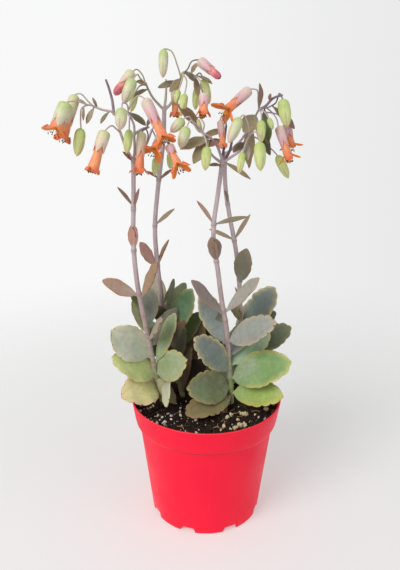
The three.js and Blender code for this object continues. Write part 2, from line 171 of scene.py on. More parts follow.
# Further small flowers between the framed ones:
# stem, stalk points from the branch to the neck, tip, width, finish, flare, lobe.
SMALL_FLOWERS = [
    ("a", [(-40, -2, 311), (-44, -1, 310), (-47, 0, 306)], (-50, -1, 294), 5.5, "fresh", 0, 0),
    ("a", [(-36, -8, 284), (-33, -11, 287), (-29, -16, 286), (-28, -18, 283)], (-35, -26, 270), 7.4,
     "blushed", 0.66, 7.5),
    ("b", [(-17, 2, 318), (-17, -4, 314), (-19, -8, 308)], (-21, -9, 300), 4.2, "fresh", 0, 0),
    ("b", [(-17, 2, 318), (-14, -8, 313), (-15, -14, 306)], (-17, -15, 293), 5.6, "fresh", 0, 0),
    ("b", [(-12, 3, 317), (-9, 9, 313), (-8, 10, 309)], (-9, 10, 295), 5.6, "fresh", 0, 0),
    ("b", [(-21, 8, 306), (-23, 13, 310), (-23, 14, 309)], (-22, 10, 291), 5.6, "blushed", 0.3, 3.5),
    ("c", [(-4, -22, 283), (-3, -15, 288), (-6, -14, 292), (-8, -16, 291)], (-5, -20, 283), 5.0,
     "fresh", 0, 0),
    ("a", [(-36, -8, 284), (-34, -5, 278), (-34, -4, 266)], (-35, -5, 254), 5.6, "fresh", 0, 0),
    ("b", [(-30, 6, 285), (-26, 0, 277), (-25, -2, 269)], (-25, -2, 258), 5.2, "fresh", 0, 0),
    ("d", [(32, 2, 296), (33, -6, 294), (33, -8, 290)], (33, -10, 276), 6.4, "fresh", 0, 0),
    ("d", [(32, 2, 296), (35, -2, 295), (38, -4, 291)], (41, -4, 284), 4.0, "fresh", 0, 0),
    ("c", [(25, -18, 281), (23, -22, 278), (21, -24, 272)], (19, -25, 259), 5.2, "fresh", 0, 0),
    ("d", [(38, 8, 294), (46, 16, 292), (52, 18, 287)], (56, 16, 270), 7.0, "rosy", 0.85, 6.0),
    ("d", [(25, 12, 280), (32, 13, 277), (42, 12, 270), (46, 10, 266)], (54, 8, 251), 7.0, "fresh", 0, 0),
]

# ------------------------------------------------------------------ leaves
# Finish of each framed leaf, how far its margins turn up, and how far its tip
# bends down, both in millimetres.

LEAF_LOOKS = {
    "leaf_a01": ("green_gold", 1.6, 1.0),
    "leaf_a02": ("pistachio", 1.8, 0.0),
    "leaf_a03": ("moss", 1.0, 1.0),
    "leaf_a04": ("silver_sage", 2.0, 0.0),
    "leaf_a05": ("fern", 0.8, 0.5),
    "leaf_a06": ("taupe", 1.0, 0.5),
    "leaf_a07": ("dusk", 0.6, 0.0),
    "leaf_a08": ("straw", 1.0, 0.0),
    "leaf_a09": ("rose_tan", 0.8, 1.0),
    "leaf_a10": ("copper", 0.6, 1.0),
    "leaf_b01": ("silver_sage", 0.8, 0.0),
    "leaf_b02": ("umber", 0.5, 0.0),
    "leaf_b03": ("shade", 0.6, 0.0),
    "leaf_b04": ("deep_green", 0.8, 0.0),
    "leaf_b05": ("jade", 1.2, 0.0),
    "leaf_b06": ("pale_green", 0.8, 0.5),
    "leaf_b07": ("blush", 0.6, 0.6),
    "leaf_c01": ("tan_green", 1.0, 0.8),
    "leaf_c02": ("lime", 1.2, 0.6),
    "leaf_c03": ("dim_moss", 1.8, 0.6),
    "leaf_c04": ("spring", 1.8, 0.4),
    "leaf_c05": ("slate", 1.6, 0.4),
    "leaf_c06": ("mint", 0.8, 0.4),
    "leaf_c07": ("blue_grey", 1.2, 0.5),
    "leaf_c08": ("lilac_grey", 1.4, 0.6),
    "leaf_c09": ("lavender", 0.6, 1.0),
    "leaf_c10": ("misty", 0.8, 0.8),
    "leaf_d01": ("shade_sage", 0.8, 0.4),
    "leaf_d02": ("slate", 1.2, 0.6),
    "leaf_d03": ("olive_dusk", 1.2, 0.4),
}
# Further leaves: stem, base, tip, width, way the upper face looks, finish.
# The near-black leaves and the umber one from (-20, 13, 97) are dark sheets of painted shade filling the
# gaps low at the back.
SMALL_LEAVES = [
    ("b", (-35, 12, 187), (-28, 16, 206), 5, (-0.9, -0.3, 0.1), "copper"),
    ("b", (-32, 15, 156), (-24, 10, 178), 12, (0.85, -0.4, 0.2), "deep_green"),
    ("b", (-20, 13, 97), (-3, 24, 141), 17, (-0.35, -0.9, 0.2), "umber"),
    ("b", (-19, 12, 90), (-12, 22, 122), 13, (-0.5, -0.85, 0.2), "night"),
    ("b", (-19, 11, 92), (4, 13, 112), 25, (-0.1, -0.95, 0.2), "night"),
    ("b", (-24, 16, 112), (-40, 8, 129), 14, (0.0, -0.95, 0.2), "shade"),
    ("b", (-30, 17, 140), (-36, 12, 157), 11, (0.2, -0.9, 0.2), "shade"),
    ("b", (-27, 15, 121), (-17, 7, 147), 12, (-0.5, -0.8, 0.2), "umber"),
    ("a", (-33, 2, 94), (-57, -5, 107), 17, (-0.1, -0.8, 0.6), "green_gold"),
    ("b", (-27, 18, 123), (-45, 12, 138), 15, (0.1, -0.9, 0.3), "deep_green"),
    ("a", (-36, -2, 107), (-22, -14, 92), 10, (-0.3, -0.8, 0.5), "straw"),
    ("c", (15, -2, 154), (-7, 20, 159), 11, (-0.2, -0.9, 0.4), "shade"),
    ("d", (28, 21, 132), (54, 40, 142), 13, (0.0, -0.9, 0.4), "shade"),
    ("c", (17, 0, 106), (-1, 12, 108), 13, (0.0, -0.9, 0.4), "deep_green"),
    ("d", (26, 20, 142), (19, 12, 160), 8, (-0.5, -0.8, 0.2), "straw"),
    ("c", (4, -10, 197), (2.5, -13, 215), 8.5, (-0.55, -0.8, 0.1), "clasp"),
    ("c", (6, -9, 197), (5.5, -12.5, 214), 8.5, (0.6, -0.75, 0.1), "clasp"),
    ("a", (-35, 0, 99), (-28, 34, 108), 21, (0.1, 0.6, 0.75), "moss"),
    ("a", (-38, -3, 117), (-64, 22, 131), 20, (-0.4, 0.5, 0.75), "dim_moss"),
    ("a", (-40, -5, 133), (-22, 12, 155), 14, (0.5, 0.6, 0.6), "dusk"),
    ("a", (-44, -9, 158), (-53, -5, 175), 6, (0.3, -0.9, 0.3), "deep_green"),
    ("b", (-19, 11, 92), (-27, 46, 98), 21, (0.0, 0.6, 0.8), "tan_green"),
    ("b", (-25, 16, 116), (-47, 47, 133), 19, (-0.3, 0.6, 0.7), "jade"),
    ("b", (-32, 17, 141), (-18, 42, 165), 14, (0.3, 0.75, 0.5), "deep_green"),
    ("c", (18, 0, 99), (13, 36, 104), 20, (0.0, 0.6, 0.8), "dim_moss"),
    ("c", (16, -3, 124), (33, 24, 143), 17, (0.4, 0.6, 0.7), "slate"),
    ("d", (29, 22, 96), (52, 46, 103), 21, (0.4, 0.5, 0.75), "spring"),
    ("d", (29, 22, 104), (5, 47, 118), 19, (-0.4, 0.6, 0.7), "lime"),
    ("d", (27, 21, 127), (33, 53, 146), 18, (0.0, 0.75, 0.65), "blue_grey"),
    ("d", (28, 22, 104), (-3, 32, 134), 19, (-0.2, -0.9, 0.3), "night"),
    ("d", (25, 20, 150), (22, 38, 163), 11, (0.0, 0.7, 0.55), "shade_sage"),
]
# Bracts, the small plain leaves on the upper stalks and in the flower heads:
# stem, base, tip, width, finish.
BRACTS = [
    ("a", (-49, -15, 236), (-58, -18, 249), 2.6, "umber_rose"),
    ("a", (-47, -17, 234), (-44, -21, 249), 2.4, "umber_rose"),
    ("a", (-49, -15, 206), (-50, -19, 224), 5.6, "blush"),
    ("a", (-48, -15, 206), (-47, -18.5, 223), 4.8, "blush"),
    ("b", (-36, 12, 217), (-23, 8, 230), 3.2, "taupe"),
    ("b", (-34, 10, 250), (-42, 4, 256), 2.4, "umber_rose"),
    ("b", (-33, 10, 249), (-24, 6, 257), 2.6, "umber_rose"),
    ("c", (3, -10, 223), (-7, -14, 240), 3.0, "rose_tan"),
    ("c", (5, -10, 223), (26, -14, 230), 3.8, "olive_dusk"),
    ("d", (16, 15, 206), (1, 12, 215), 3.4, "taupe"),
    ("d", (19, 15, 206), (29, 12, 226), 3.4, "taupe"),
    ("d", (14, 12, 232), (11, 6, 243), 3.4, "olive_dusk"),
    ("a", (-69, -30, 297), (-73, -34, 289), 3.4, "taupe"),
    ("a", (-74, -33, 299), (-74, -36, 291), 1.8, "hazel"),
    ("a", (-60, -28, 295), (-65, -31, 289), 2.6, "olive_dusk"),
    ("a", (-66, -30, 299), (-69, -31, 304), 1.8, "olive_dusk"),
    ("a", (-73, -31, 300), (-78, -34, 303), 2.4, "taupe"),
    ("a", (-48, -23, 295), (-38, -29, 288), 4.6, "shade"),
    ("a", (-39, -17, 286), (-35, -20, 293), 3.0, "olive_dusk"),
    ("b", (-40, -1, 308), (-47, -7, 304), 3.2, "olive_dusk"),
    ("b", (-40, -2, 309), (-45, -9, 313), 4.2, "hazel"),
    ("a", (-48, -20, 265), (-53, -25, 272), 2.6, "umber_rose"),
    ("a", (-38, -10, 264), (-36, -14, 273), 3.4, "shade"),
    ("b", (-20, 4, 313), (-32, -5, 309), 4.8, "olive_dusk"),
    ("b", (-19, 3, 315), (-25, -6, 307), 4.6, "hazel"),
    ("b", (-12, 3, 317), (-7, -1, 324), 3.6, "hazel"),
    ("b", (-15, 2, 318), (-10, -7, 314), 5.0, "shade"),
    ("b", (-8, 4, 316), (2, -3, 312), 3.2, "olive_dusk"),
    ("b", (-8, 4, 315), (-7, -4, 304), 4.8, "hazel"),
    ("c", (-4, -21, 284), (-19, -15, 300), 8.0, "umber"),
    ("c", (10, -11, 285), (-4, -19, 280), 5.4, "hazel"),
    ("c", (9, -12, 278), (-3, -23, 275), 6.6, "umber_rose"),
    ("c", (0, -18, 279), (-17, -28, 274), 8.6, "bronze"),
    ("c", (-1, -18, 279), (-9, -27, 265), 8.0, "bronze"),
    ("d", (31, 2, 296), (32, -6, 312), 5.0, "umber_rose"),
    ("d", (39, 4, 301), (39, 0, 306), 2.4, "umber_rose"),
    ("d", (41, 7, 297), (57, 13, 283), 6.0, "umber_rose"),
    ("d", (30, 4, 293), (22, -9, 283), 11.5, "bronze"),
    ("c", (24, -16, 278), (15, -22, 272), 5.6, "shade"),
    ("c", (24, -16, 278), (24, -24, 267), 4.6, "misty"),
    ("d", (28, 8, 286), (26, -2, 261), 8.4, "hazel"),
    ("c", (12, -11, 262), (27, -16, 254), 3.8, "hazel"),
    ("c", (8, -12, 262), (0, -17, 263), 2.8, "hazel"),
    ("d", (36, 4, 296), (38, -2, 275), 8.0, "deep_green"),
    ("d", (33, 6, 290), (41, 4, 267), 7.0, "shade"),
    ("d", (29, 9, 282), (27, 4, 258), 4.6, "umber_rose"),
]
# Leaf finishes: heart, outer part, flush on one flank and margin line.
LEAF_FINISHES = {
    "green_gold": ((202, 208, 122), (218, 212, 156), (236, 206, 176), (230, 186, 150)),
    "pistachio": ((182, 200, 120), (196, 208, 142), (204, 194, 138), (226, 210, 140)),
    "moss": ((140, 160, 110), (152, 168, 132), (164, 162, 112), (196, 180, 120)),
    "silver_sage": ((168, 180, 154), (188, 194, 176), (196, 188, 158), (218, 202, 152)),
    "fern": ((164, 180, 122), (126, 148, 114), (142, 158, 116), (190, 176, 118)),
    "taupe": ((156, 152, 124), (160, 150, 130), (158, 134, 120), (184, 156, 118)),
    # dusk: its outer part is darker than its pale heart partly from the leaf's olive colour and partly as
    # painted shade.
    "dusk": ((166, 172, 160), (126, 132, 120), (120, 116, 108), (176, 164, 128)),
    "straw": ((160, 164, 110), (160, 156, 116), (176, 142, 96), (104, 104, 64)),
    "rose_tan": ((188, 170, 158), (182, 156, 140), (184, 140, 120), (190, 132, 96)),
    "copper": ((166, 146, 116), (160, 134, 106), (158, 116, 96), (170, 116, 84)),
    # umber: a dark brown that is partly the leaves' own colour and partly painted shade, for leaves that
    # sit in shadow.
    "umber": ((124, 110, 78), (106, 90, 68), (106, 76, 62), (156, 120, 78)),
    # night: near-black leaves that are painted shade, sheets set in the dark gaps low in the plant.
    "night": ((62, 52, 36), (52, 42, 32), (58, 38, 30), (92, 70, 44)),
    "clasp": ((150, 130, 116), (136, 114, 104), (138, 108, 98), (160, 128, 108)),
    "umber_rose": ((154, 132, 116), (142, 112, 104), (142, 96, 90), (166, 120, 100)),
    "shade": ((84, 92, 68), (78, 82, 62), (88, 76, 62), (128, 112, 78)),
    "deep_green": ((96, 118, 66), (84, 104, 58), (96, 96, 62), (140, 132, 84)),
    "jade": ((126, 160, 124), (98, 134, 96), (116, 132, 94), (182, 184, 120)),
    "pale_green": ((178, 176, 160), (170, 168, 150), (176, 152, 138), (192, 168, 132)),
    "blush": ((192, 160, 150), (190, 150, 142), (196, 132, 124), (196, 128, 104)),
    "tan_green": ((104, 126, 60), (128, 118, 80), (124, 104, 72), (170, 138, 92)),
    "lime": ((142, 180, 92), (160, 184, 96), (172, 172, 92), (208, 188, 100)),
    "dim_moss": ((116, 134, 92), (112, 126, 90), (108, 100, 78), (176, 162, 104)),
    "spring": ((160, 174, 146), (130, 164, 102), (130, 158, 92), (214, 200, 112)),
    "slate": ((128, 144, 136), (122, 134, 130), (130, 124, 124), (210, 194, 134)),
    "mint": ((146, 176, 140), (146, 178, 142), (150, 164, 132), (204, 188, 136)),
    "blue_grey": ((150, 162, 156), (142, 154, 150), (148, 142, 146), (206, 190, 140)),
    "lilac_grey": ((152, 156, 146), (152, 158, 150), (160, 144, 146), (196, 176, 142)),
    "lavender": ((148, 144, 136), (144, 134, 130), (152, 124, 122), (172, 136, 116)),
    "misty": ((162, 164, 154), (160, 160, 150), (160, 146, 142), (180, 160, 134)),
    "shade_sage": ((114, 126, 100), (104, 116, 92), (106, 102, 86), (168, 156, 106)),
    "olive_dusk": ((134, 136, 112), (128, 126, 106), (122, 104, 96), (150, 124, 96)),
    "bronze": ((166, 160, 122), (156, 146, 116), (148, 122, 102), (188, 164, 122)),
    "hazel": ((156, 146, 110), (142, 128, 100), (140, 114, 92), (176, 152, 114)),
}
# Width of the pale margin line, in millimetres, of the finishes with a broad one.
BROAD_MARGINS = {
    "moss": 1.5, "slate": 1.4, "blue_grey": 1.2, "spring": 1.3, "dim_moss": 1.3, "fern": 1.3,
    "lime": 1.0, "jade": 1.0, "lilac_grey": 1.0,
}
# Calyx finishes: neck, middle and lobes.
CALYX_FINISHES = {
    "fresh": ((184, 206, 116), (214, 224, 156), (222, 216, 158)),
    "silvery": ((186, 206, 134), (218, 218, 184), (224, 198, 190)),
    "blushed": ((206, 212, 156), (230, 214, 192), (230, 184, 176)),
    "rosy": ((222, 206, 186), (228, 186, 192), (228, 156, 168)),
}


# ---------------------------------------------------------------- settings


def length(name, description, default, top=1000.0):
    """A size in metres, shown as a length, given in millimetres."""
    return bpy.props.FloatProperty(
        name=name, description=description, default=default * MM, min=0.0, max=top * MM,
        unit="LENGTH", subtype="DISTANCE", precision=5,
    )


def linear(colour):
    """Scene-linear values of an sRGB colour given as 0 to 255."""
    shares = [c / 255 for c in colour]
    return tuple(s / 12.92 if s <= 0.04045 else ((s + 0.055) / 1.055) ** 2.4 for s in shares)


def number(name, description, default, **kind):
    return bpy.props.FloatProperty(name=name, description=description, default=default, min=0.0, **kind)


def amount(name, description, default):
    return bpy.props.IntProperty(name=name, description=description, default=default, min=0)


def tint(name, description, default):
    """A colour property, its default given as sRGB from 0 to 255."""
    return bpy.props.FloatVectorProperty(
        name=name, description=description, default=linear(default), min=0.0, max=1.0,
        size=3, subtype="COLOR",
    )


class KalanchoePotSettings(PropertyGroup):
    """Sizes and colour of the nursery pot."""

    height: length("Height", "From the ground to the rim", 92)
    rim_radius: length("Rim radius", "Outer radius at the rim", 55)
    band_height: length("Band height", "Height of the wider band under the rim", 18.5)
    band_foot_radius: length("Band foot radius", "Outer radius where the band starts", 52)
    shoulder_radius: length("Shoulder radius", "Outer radius of the wall below the band", 49.5)
    foot_radius: length("Foot radius", "Outer radius at the ground", 40.5)
    wall: length("Wall", "Thickness of the plastic", 1.1)
    notch_width: length("Notch width", "Width of a foot notch", 10.8)
    notch_height: length("Notch height", "Height of a foot notch", 3.5)
    colour: tint("Colour", "Colour of the plastic", (255, 12, 56))


class KalanchoeSoilSettings(PropertyGroup):
    """Level, colour and grit of the potting soil."""

    level: length("Level", "Height of the soil at the pot's wall", 84)
    crown: length("Crown", "Rise of the soil at the middle", 1.2)
    crumbs: amount("Crumbs", "Number of peat crumbs", 900)
    grit: amount("Perlite", "Number of white grains", 230)
    straws: amount("Fibres", "Number of fibres and chips", 120)
    colour: tint("Colour", "Colour of the peat", (34, 25, 20))


class KalanchoeStemSettings(PropertyGroup):
    """Thickness and colours of the stalks."""

    lower_radius: length("Lower radius", "Stalk radius at the soil", 2.0)
    upper_radius: length("Upper radius", "Stalk radius at the fork", 1.45)
    branch_radius: length("Branch radius", "Radius of a flowering branch", 0.85)
    flower_stalk_radius: length("Flower stalk radius", "Radius of a flower's own stalk", 0.46)
    voxel: length("Skin step", "Step of the mesh that fuses the stalks", 0.28)
    lower_colour: tint("Lower colour", "Colour near the soil", (146, 176, 100))
    upper_colour: tint("Upper colour", "Colour below the flowers", (202, 184, 192))


class KalanchoeLeafSettings(PropertyGroup):
    """Thickness and margin of the fleshy leaves."""

    thickness: length("Thickness", "Thickness of a large leaf at its heart", 2.7)
    scallop: length("Scallop depth", "Depth of the scallops of the margin", 1.4)
    petiole: length("Petiole half width", "Half width of the leaf at its joint", 1.3)
    notch_colour: tint("Notch colour", "Colour of the dots between the scallops", (96, 58, 44))


class KalanchoeFlowerSettings(PropertyGroup):
    """Colours and thin parts of the flowers."""

    petal_thickness: length("Petal thickness", "Thickness of a petal", 0.3)
    filament_radius: length("Filament radius", "Radius of a stamen's thread", 0.13)
    petal_colour: tint("Petal colour", "Colour of the petals' tube", (254, 160, 112))
    lobe_colour: tint("Lobe colour", "Colour of the petals' lobes", (240, 94, 66))
    anther_colour: tint("Anther colour", "Colour of the anthers", (38, 24, 22))


class KalanchoeStageSettings(PropertyGroup):
    """Floor, light and camera."""

    key_power: number("Key power", "Power of the main soft light", 21.0, unit="POWER")
    room_light: number("Room light", "Strength of the even light of the room", 0.48)
    backdrop: tint("Backdrop", "Colour of the room behind the plant", (248, 249, 248))
    # Painted shade: the right side of the backdrop is darker.
    backdrop_right: tint("Backdrop right", "Colour of the room on the right", (233, 234, 233))
    floor_colour: tint("Floor colour", "Colour of the floor", (198, 199, 200))
    floor_glow: number("Floor glow", "Light that the floor gives off", 0.34)
    lens: number("Lens", "Focal length of the camera", 40.0, unit="CAMERA", subtype="DISTANCE_CAMERA")


def chosen(name):
    """The settings of one kind, such as pot or stems, as the user left them."""
    return getattr(bpy.context.scene, "kalanchoe_" + name)


SETTINGS = {
    "kalanchoe_pot": KalanchoePotSettings,
    "kalanchoe_soil": KalanchoeSoilSettings,
    "kalanchoe_stems": KalanchoeStemSettings,
    "kalanchoe_leaves": KalanchoeLeafSettings,
    "kalanchoe_flowers": KalanchoeFlowerSettings,
    "kalanchoe_stage": KalanchoeStageSettings,
}


# -------------------------------------------------------------- vector help


def unit(v):
    return np.asarray(v, float) / norm(v)


def step_up(x, low, high):
    """Smooth rise from 0 at low to 1 at high."""
    t = np.clip((np.asarray(x, float) - low) / (high - low), 0, 1)
    return t * t * (3 - 2 * t)


def smooth_path(points, step):
    """Points about one step apart on a smooth curve through the given ones."""
    p = np.array(points, float)
    p = np.vstack([2 * p[0] - p[1], p, 2 * p[-1] - p[-2]])
    out = []
    for i in range(1, len(p) - 2):
        p0, p1, p2, p3 = p[i - 1 : i + 3]
        t0 = 0.0
        t1 = t0 + norm(p1 - p0) ** 0.5
        t2 = t1 + norm(p2 - p1) ** 0.5
        t3 = t2 + norm(p3 - p2) ** 0.5
        count = max(2, int(norm(p2 - p1) / step))
        for t in np.linspace(t1, t2, count, endpoint=False):
            a1 = (t1 - t) / (t1 - t0) * p0 + (t - t0) / (t1 - t0) * p1
            a2 = (t2 - t) / (t2 - t1) * p1 + (t - t1) / (t2 - t1) * p2
            a3 = (t3 - t) / (t3 - t2) * p2 + (t - t2) / (t3 - t2) * p3
            b1 = (t2 - t) / (t2 - t0) * a1 + (t - t0) / (t2 - t0) * a2
            b2 = (t3 - t) / (t3 - t1) * a2 + (t - t1) / (t3 - t1) * a3
            out.append((t2 - t) / (t2 - t1) * b1 + (t - t1) / (t2 - t1) * b2)
    out.append(p[-2])
    return np.array(out)


# ------------------------------------------------------------------ patches
# A patch is a dict with points, faces, a material number for each face, and
# named values for each point.


def patch(points, faces, finish=0, **layers):
    count = len(points)
    return {
        "points": np.asarray(points, float),
        "faces": [tuple(f) for f in faces],
        "finish": [finish] * len(faces),
        "layers": {k: np.broadcast_to(np.asarray(v, float), (count,)) for k, v in layers.items()},
    }


def join(patches):
    names = sorted({n for p in patches for n in p["layers"]})
    out = {"points": np.vstack([p["points"] for p in patches]), "faces": [], "finish": [], "layers": {}}
    start = 0
    for p in patches:
        out["faces"] += [tuple(i + start for i in f) for f in p["faces"]]
        out["finish"] += p["finish"]
        start += len(p["points"])
    for n in names:
        out["layers"][n] = np.concatenate(
            [p["layers"].get(n, np.zeros(len(p["points"]))) for p in patches]
        )
    return out


def grid_faces(rows, columns, closed, flip=False, start=0):
    """Quads between rows of points; closed joins the last column to the first."""
    faces = []
    for i in range(rows - 1):
        for j in range(columns if closed else columns - 1):
            k = (j + 1) % columns
            quad = (
                start + i * columns + j,
                start + i * columns + k,
                start + (i + 1) * columns + k,
                start + (i + 1) * columns + j,
            )
            faces.append(quad[::-1] if flip else quad)
    return faces


def full_turn(count):
    """Angles evenly round a full turn."""
    return np.linspace(0, 2 * pi, count, endpoint=False)


def circle(radius, turns, z):
    return np.stack([radius * np.cos(turns), radius * np.sin(turns), z + 0.0 * turns], axis=1)


def capped_faces(rows, columns):
    """Faces of a closed skin of rings, with a point at each end after the last ring."""
    last = rows * columns
    faces = grid_faces(rows, columns, True)
    for j in range(columns):
        k = (j + 1) % columns
        faces.append((last, k, j))
        faces.append((last + 1, last - columns + j, last - columns + k))
    return faces


def tube(path, radii, sides, finish=0, **layers):
    """A closed round tube along a path, its radius given at each point."""
    path = np.asarray(path, float)
    radii = np.broadcast_to(np.asarray(radii, float), (len(path),))
    tangent = np.gradient(path, axis=0)
    tangent /= norm(tangent, axis=1)[:, None]
    side = np.cross(tangent[0], UP if abs(tangent[0][2]) < 0.9 else np.array([1.0, 0, 0]))
    turns = full_turn(sides)
    points = []
    for i, here in enumerate(path):
        side = unit(side - tangent[i] * (side @ tangent[i]))
        other = np.cross(tangent[i], side)
        ring = np.outer(np.cos(turns), side) + np.outer(np.sin(turns), other)
        points.append(here + ring * radii[i])
    ends = [path[:1] - tangent[:1] * radii[0] * 0.4, path[-1:] + tangent[-1:] * radii[-1] * 0.4]
    points = np.vstack(points + ends)
    faces = capped_faces(len(path), sides)
    shares = np.repeat(np.linspace(0, 1, len(path)), sides)
    made = patch(points, faces, finish, **layers)
    made["layers"].setdefault("along", np.concatenate([shares, [0, 1]]))
    return made


def shell(grid, thickness, finish=0, **layers):
    """A closed skin of even thickness from a ring grid of rows, columns, 3."""
    rows, columns, _ = grid.shape
    down = np.gradient(grid, axis=0)
    round_ = np.roll(grid, -1, axis=1) - np.roll(grid, 1, axis=1)
    normal = np.cross(round_, down)
    normal /= np.maximum(norm(normal, axis=2), 1e-9)[..., None]
    inner = grid - normal * thickness
    count = rows * columns
    faces = grid_faces(rows, columns, True) + grid_faces(rows, columns, True, True, count)
    for j in range(columns):
        k = (j + 1) % columns
        faces.append((k, j, count + j, count + k))
        end = (rows - 1) * columns
        faces.append((end + j, end + k, count + end + k, count + end + j))
    points = np.vstack([grid.reshape(-1, 3), inner.reshape(-1, 3)])
    doubled = {k: np.tile(np.asarray(v, float).reshape(-1), 2) for k, v in layers.items()}
    doubled["inside"] = np.repeat([0.0, 1.0], count)
    return patch(points, faces, finish, **doubled)


def place_in_scene(thing):
    bpy.context.scene.collection.objects.link(thing)
    return thing


def bare_object(name, made):
    """A mesh object in metres from a patch's points and faces alone."""
    mesh = bpy.data.meshes.new(name)
    mesh.from_pydata((made["points"] * MM).tolist(), [], made["faces"])
    return place_in_scene(bpy.data.objects.new(name, mesh))


def make_object(name, made, materials, merge=0.0):
    """An object with its materials and point values from a patch, riding on the root."""
    piece = bare_object(name, made)
    mesh = piece.data
    for material in materials:
        mesh.materials.append(material)
    mesh.polygons.foreach_set("material_index", made["finish"])
    for layer, values in made["layers"].items():
        attribute = mesh.attributes.new(layer, "FLOAT", "POINT")
        attribute.data.foreach_set("value", np.asarray(values, np.float32))
    if merge:
        weld(mesh, merge * MM)
    mesh.validate()
    mesh.shade_smooth()
    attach(piece, "root")
    return piece


def weld(mesh, distance):
    """Joins points closer than distance and drops faces without area."""
    work = bmesh.new()
    work.from_mesh(mesh)
    bmesh.ops.remove_doubles(work, verts=work.verts, dist=distance)
    bmesh.ops.dissolve_degenerate(work, edges=work.edges, dist=distance * 0.2)
    bmesh.ops.recalc_face_normals(work, faces=work.faces)
    work.to_mesh(mesh)
    work.free()


def apply_modifiers(piece):
    """Replaces the mesh by its evaluated copy and removes the modifiers."""
    graph = bpy.context.evaluated_depsgraph_get()
    done = bpy.data.meshes.new_from_object(piece.evaluated_get(graph))
    piece.modifiers.clear()
    piece.data = done
    return piece


def coordinates(mesh):
    flat = np.empty(len(mesh.vertices) * 3, np.float32)
    mesh.vertices.foreach_get("co", flat)
    return flat.reshape(-1, 3).astype(float)


# ------------------------------------------------------------ shader helpers


def add(tree, kind, inputs=None, **settings):
    """A node with its settings and inputs; a socket given as a value is linked."""
    made = tree.nodes.new(kind)
    for key, value in settings.items():
        setattr(made, key, value)
    for key, value in (inputs or {}).items():
        socket = made.inputs[key]
        if isinstance(value, NodeSocket):
            tree.links.new(value, socket)
        elif isinstance(value, tuple) and len(value) == 3 and socket.type == "RGBA":
            socket.default_value = (*value, 1.0)
        else:
            socket.default_value = value
    return made


def mix(factor, first, second):
    """A colour between two; the factor is a socket."""
    return add(factor.id_data, "ShaderNodeMix", {0: factor, 6: first, 7: second},
               data_type="RGBA").outputs[2]


def calc(operation, *values):
    """A sum of values, the first of them a socket."""
    tree = values[0].id_data
    return add(tree, "ShaderNodeMath", dict(enumerate(values)), operation=operation).outputs[0]


def times(first, second):
    return calc("MULTIPLY", first, second)


def cover(colour, mask, amount, coat):
    """A colour with a coat laid over it where the mask is."""
    return mix(times(mask, amount), colour, coat)


def remap(value, low, high, to_low=0.0, to_high=1.0):
    """Eases a socket's value from one range into another."""
    limits = {"Value": value, "From Min": low, "From Max": high, "To Min": to_low, "To Max": to_high}
    return add(value.id_data, "ShaderNodeMapRange", limits, interpolation_type="SMOOTHSTEP").outputs[0]


def attribute(tree, name):
    return add(tree, "ShaderNodeAttribute", attribute_name=name).outputs["Fac"]


def begin_group(name, inputs, outputs):
    """A new shader group; returns its tree, its incoming values and its outgoing sockets."""
    tree = bpy.data.node_groups.new(name, "ShaderNodeTree")
    for label, default in inputs.items():
        socket = tree.interface.new_socket(label, in_out="INPUT", socket_type="NodeSocketFloat")
        socket.default_value = default
    for label in outputs:
        tree.interface.new_socket(label, in_out="OUTPUT", socket_type="NodeSocketFloat")
    return tree, tree.nodes.new("NodeGroupInput").outputs, tree.nodes.new("NodeGroupOutput").inputs


def send(tree, end, **values):
    """Links values to a group's outgoing sockets."""
    for label, value in values.items():
        tree.links.new(value, end[label])


def object_place(tree):
    return add(tree, "ShaderNodeTexCoord").outputs["Object"]


def place_group(tree, name, inputs=None):
    """Places a shared shader group, made where it isn't there yet, and returns its outputs."""
    group = bpy.data.node_groups.get(name) or SHADER_GROUPS[name]()
    return add(tree, "ShaderNodeGroup", inputs, node_tree=group).outputs


def clouds_on(tree, cloud, grain, shift=0.0):
    return place_group(tree, "clouds", {"Cloud scale": cloud, "Grain scale": grain, "Shift": shift})


def flecks_on(tree, scale, size, share):
    return place_group(tree, "flecks", {"Scale": scale, "Size": size, "Share": share})


def cloud_group():
    """Soft clouds, fine grain and pores over the surface."""
    tree, start, end = begin_group(
        "clouds",
        {"Cloud scale": 120.0, "Grain scale": 1500.0, "Shift": 0.0},
        ("Cloud", "Grain", "Height"),
    )
    place = object_place(tree)
    moved = add(
        tree, "ShaderNodeVectorMath", {0: place, 1: start["Shift"]}, operation="ADD"
    ).outputs[0]
    cloud = add(tree, "ShaderNodeTexNoise",
                {"Vector": moved, "Scale": start["Cloud scale"], "Detail": 4.0, "Roughness": 0.55})
    grain = add(tree, "ShaderNodeTexNoise",
                {"Vector": moved, "Scale": start["Grain scale"], "Detail": 3.0, "Roughness": 0.6})
    pores = add(tree, "ShaderNodeTexVoronoi", {"Vector": moved, "Scale": start["Grain scale"]})
    height = calc("ADD", times(grain.outputs["Fac"], 0.6),
                  times(pores.outputs["Distance"], 0.4))
    soft = remap(cloud.outputs["Fac"], 0.32, 0.68)
    send(tree, end, Cloud=soft, Grain=grain.outputs["Fac"], Height=height)
    return tree


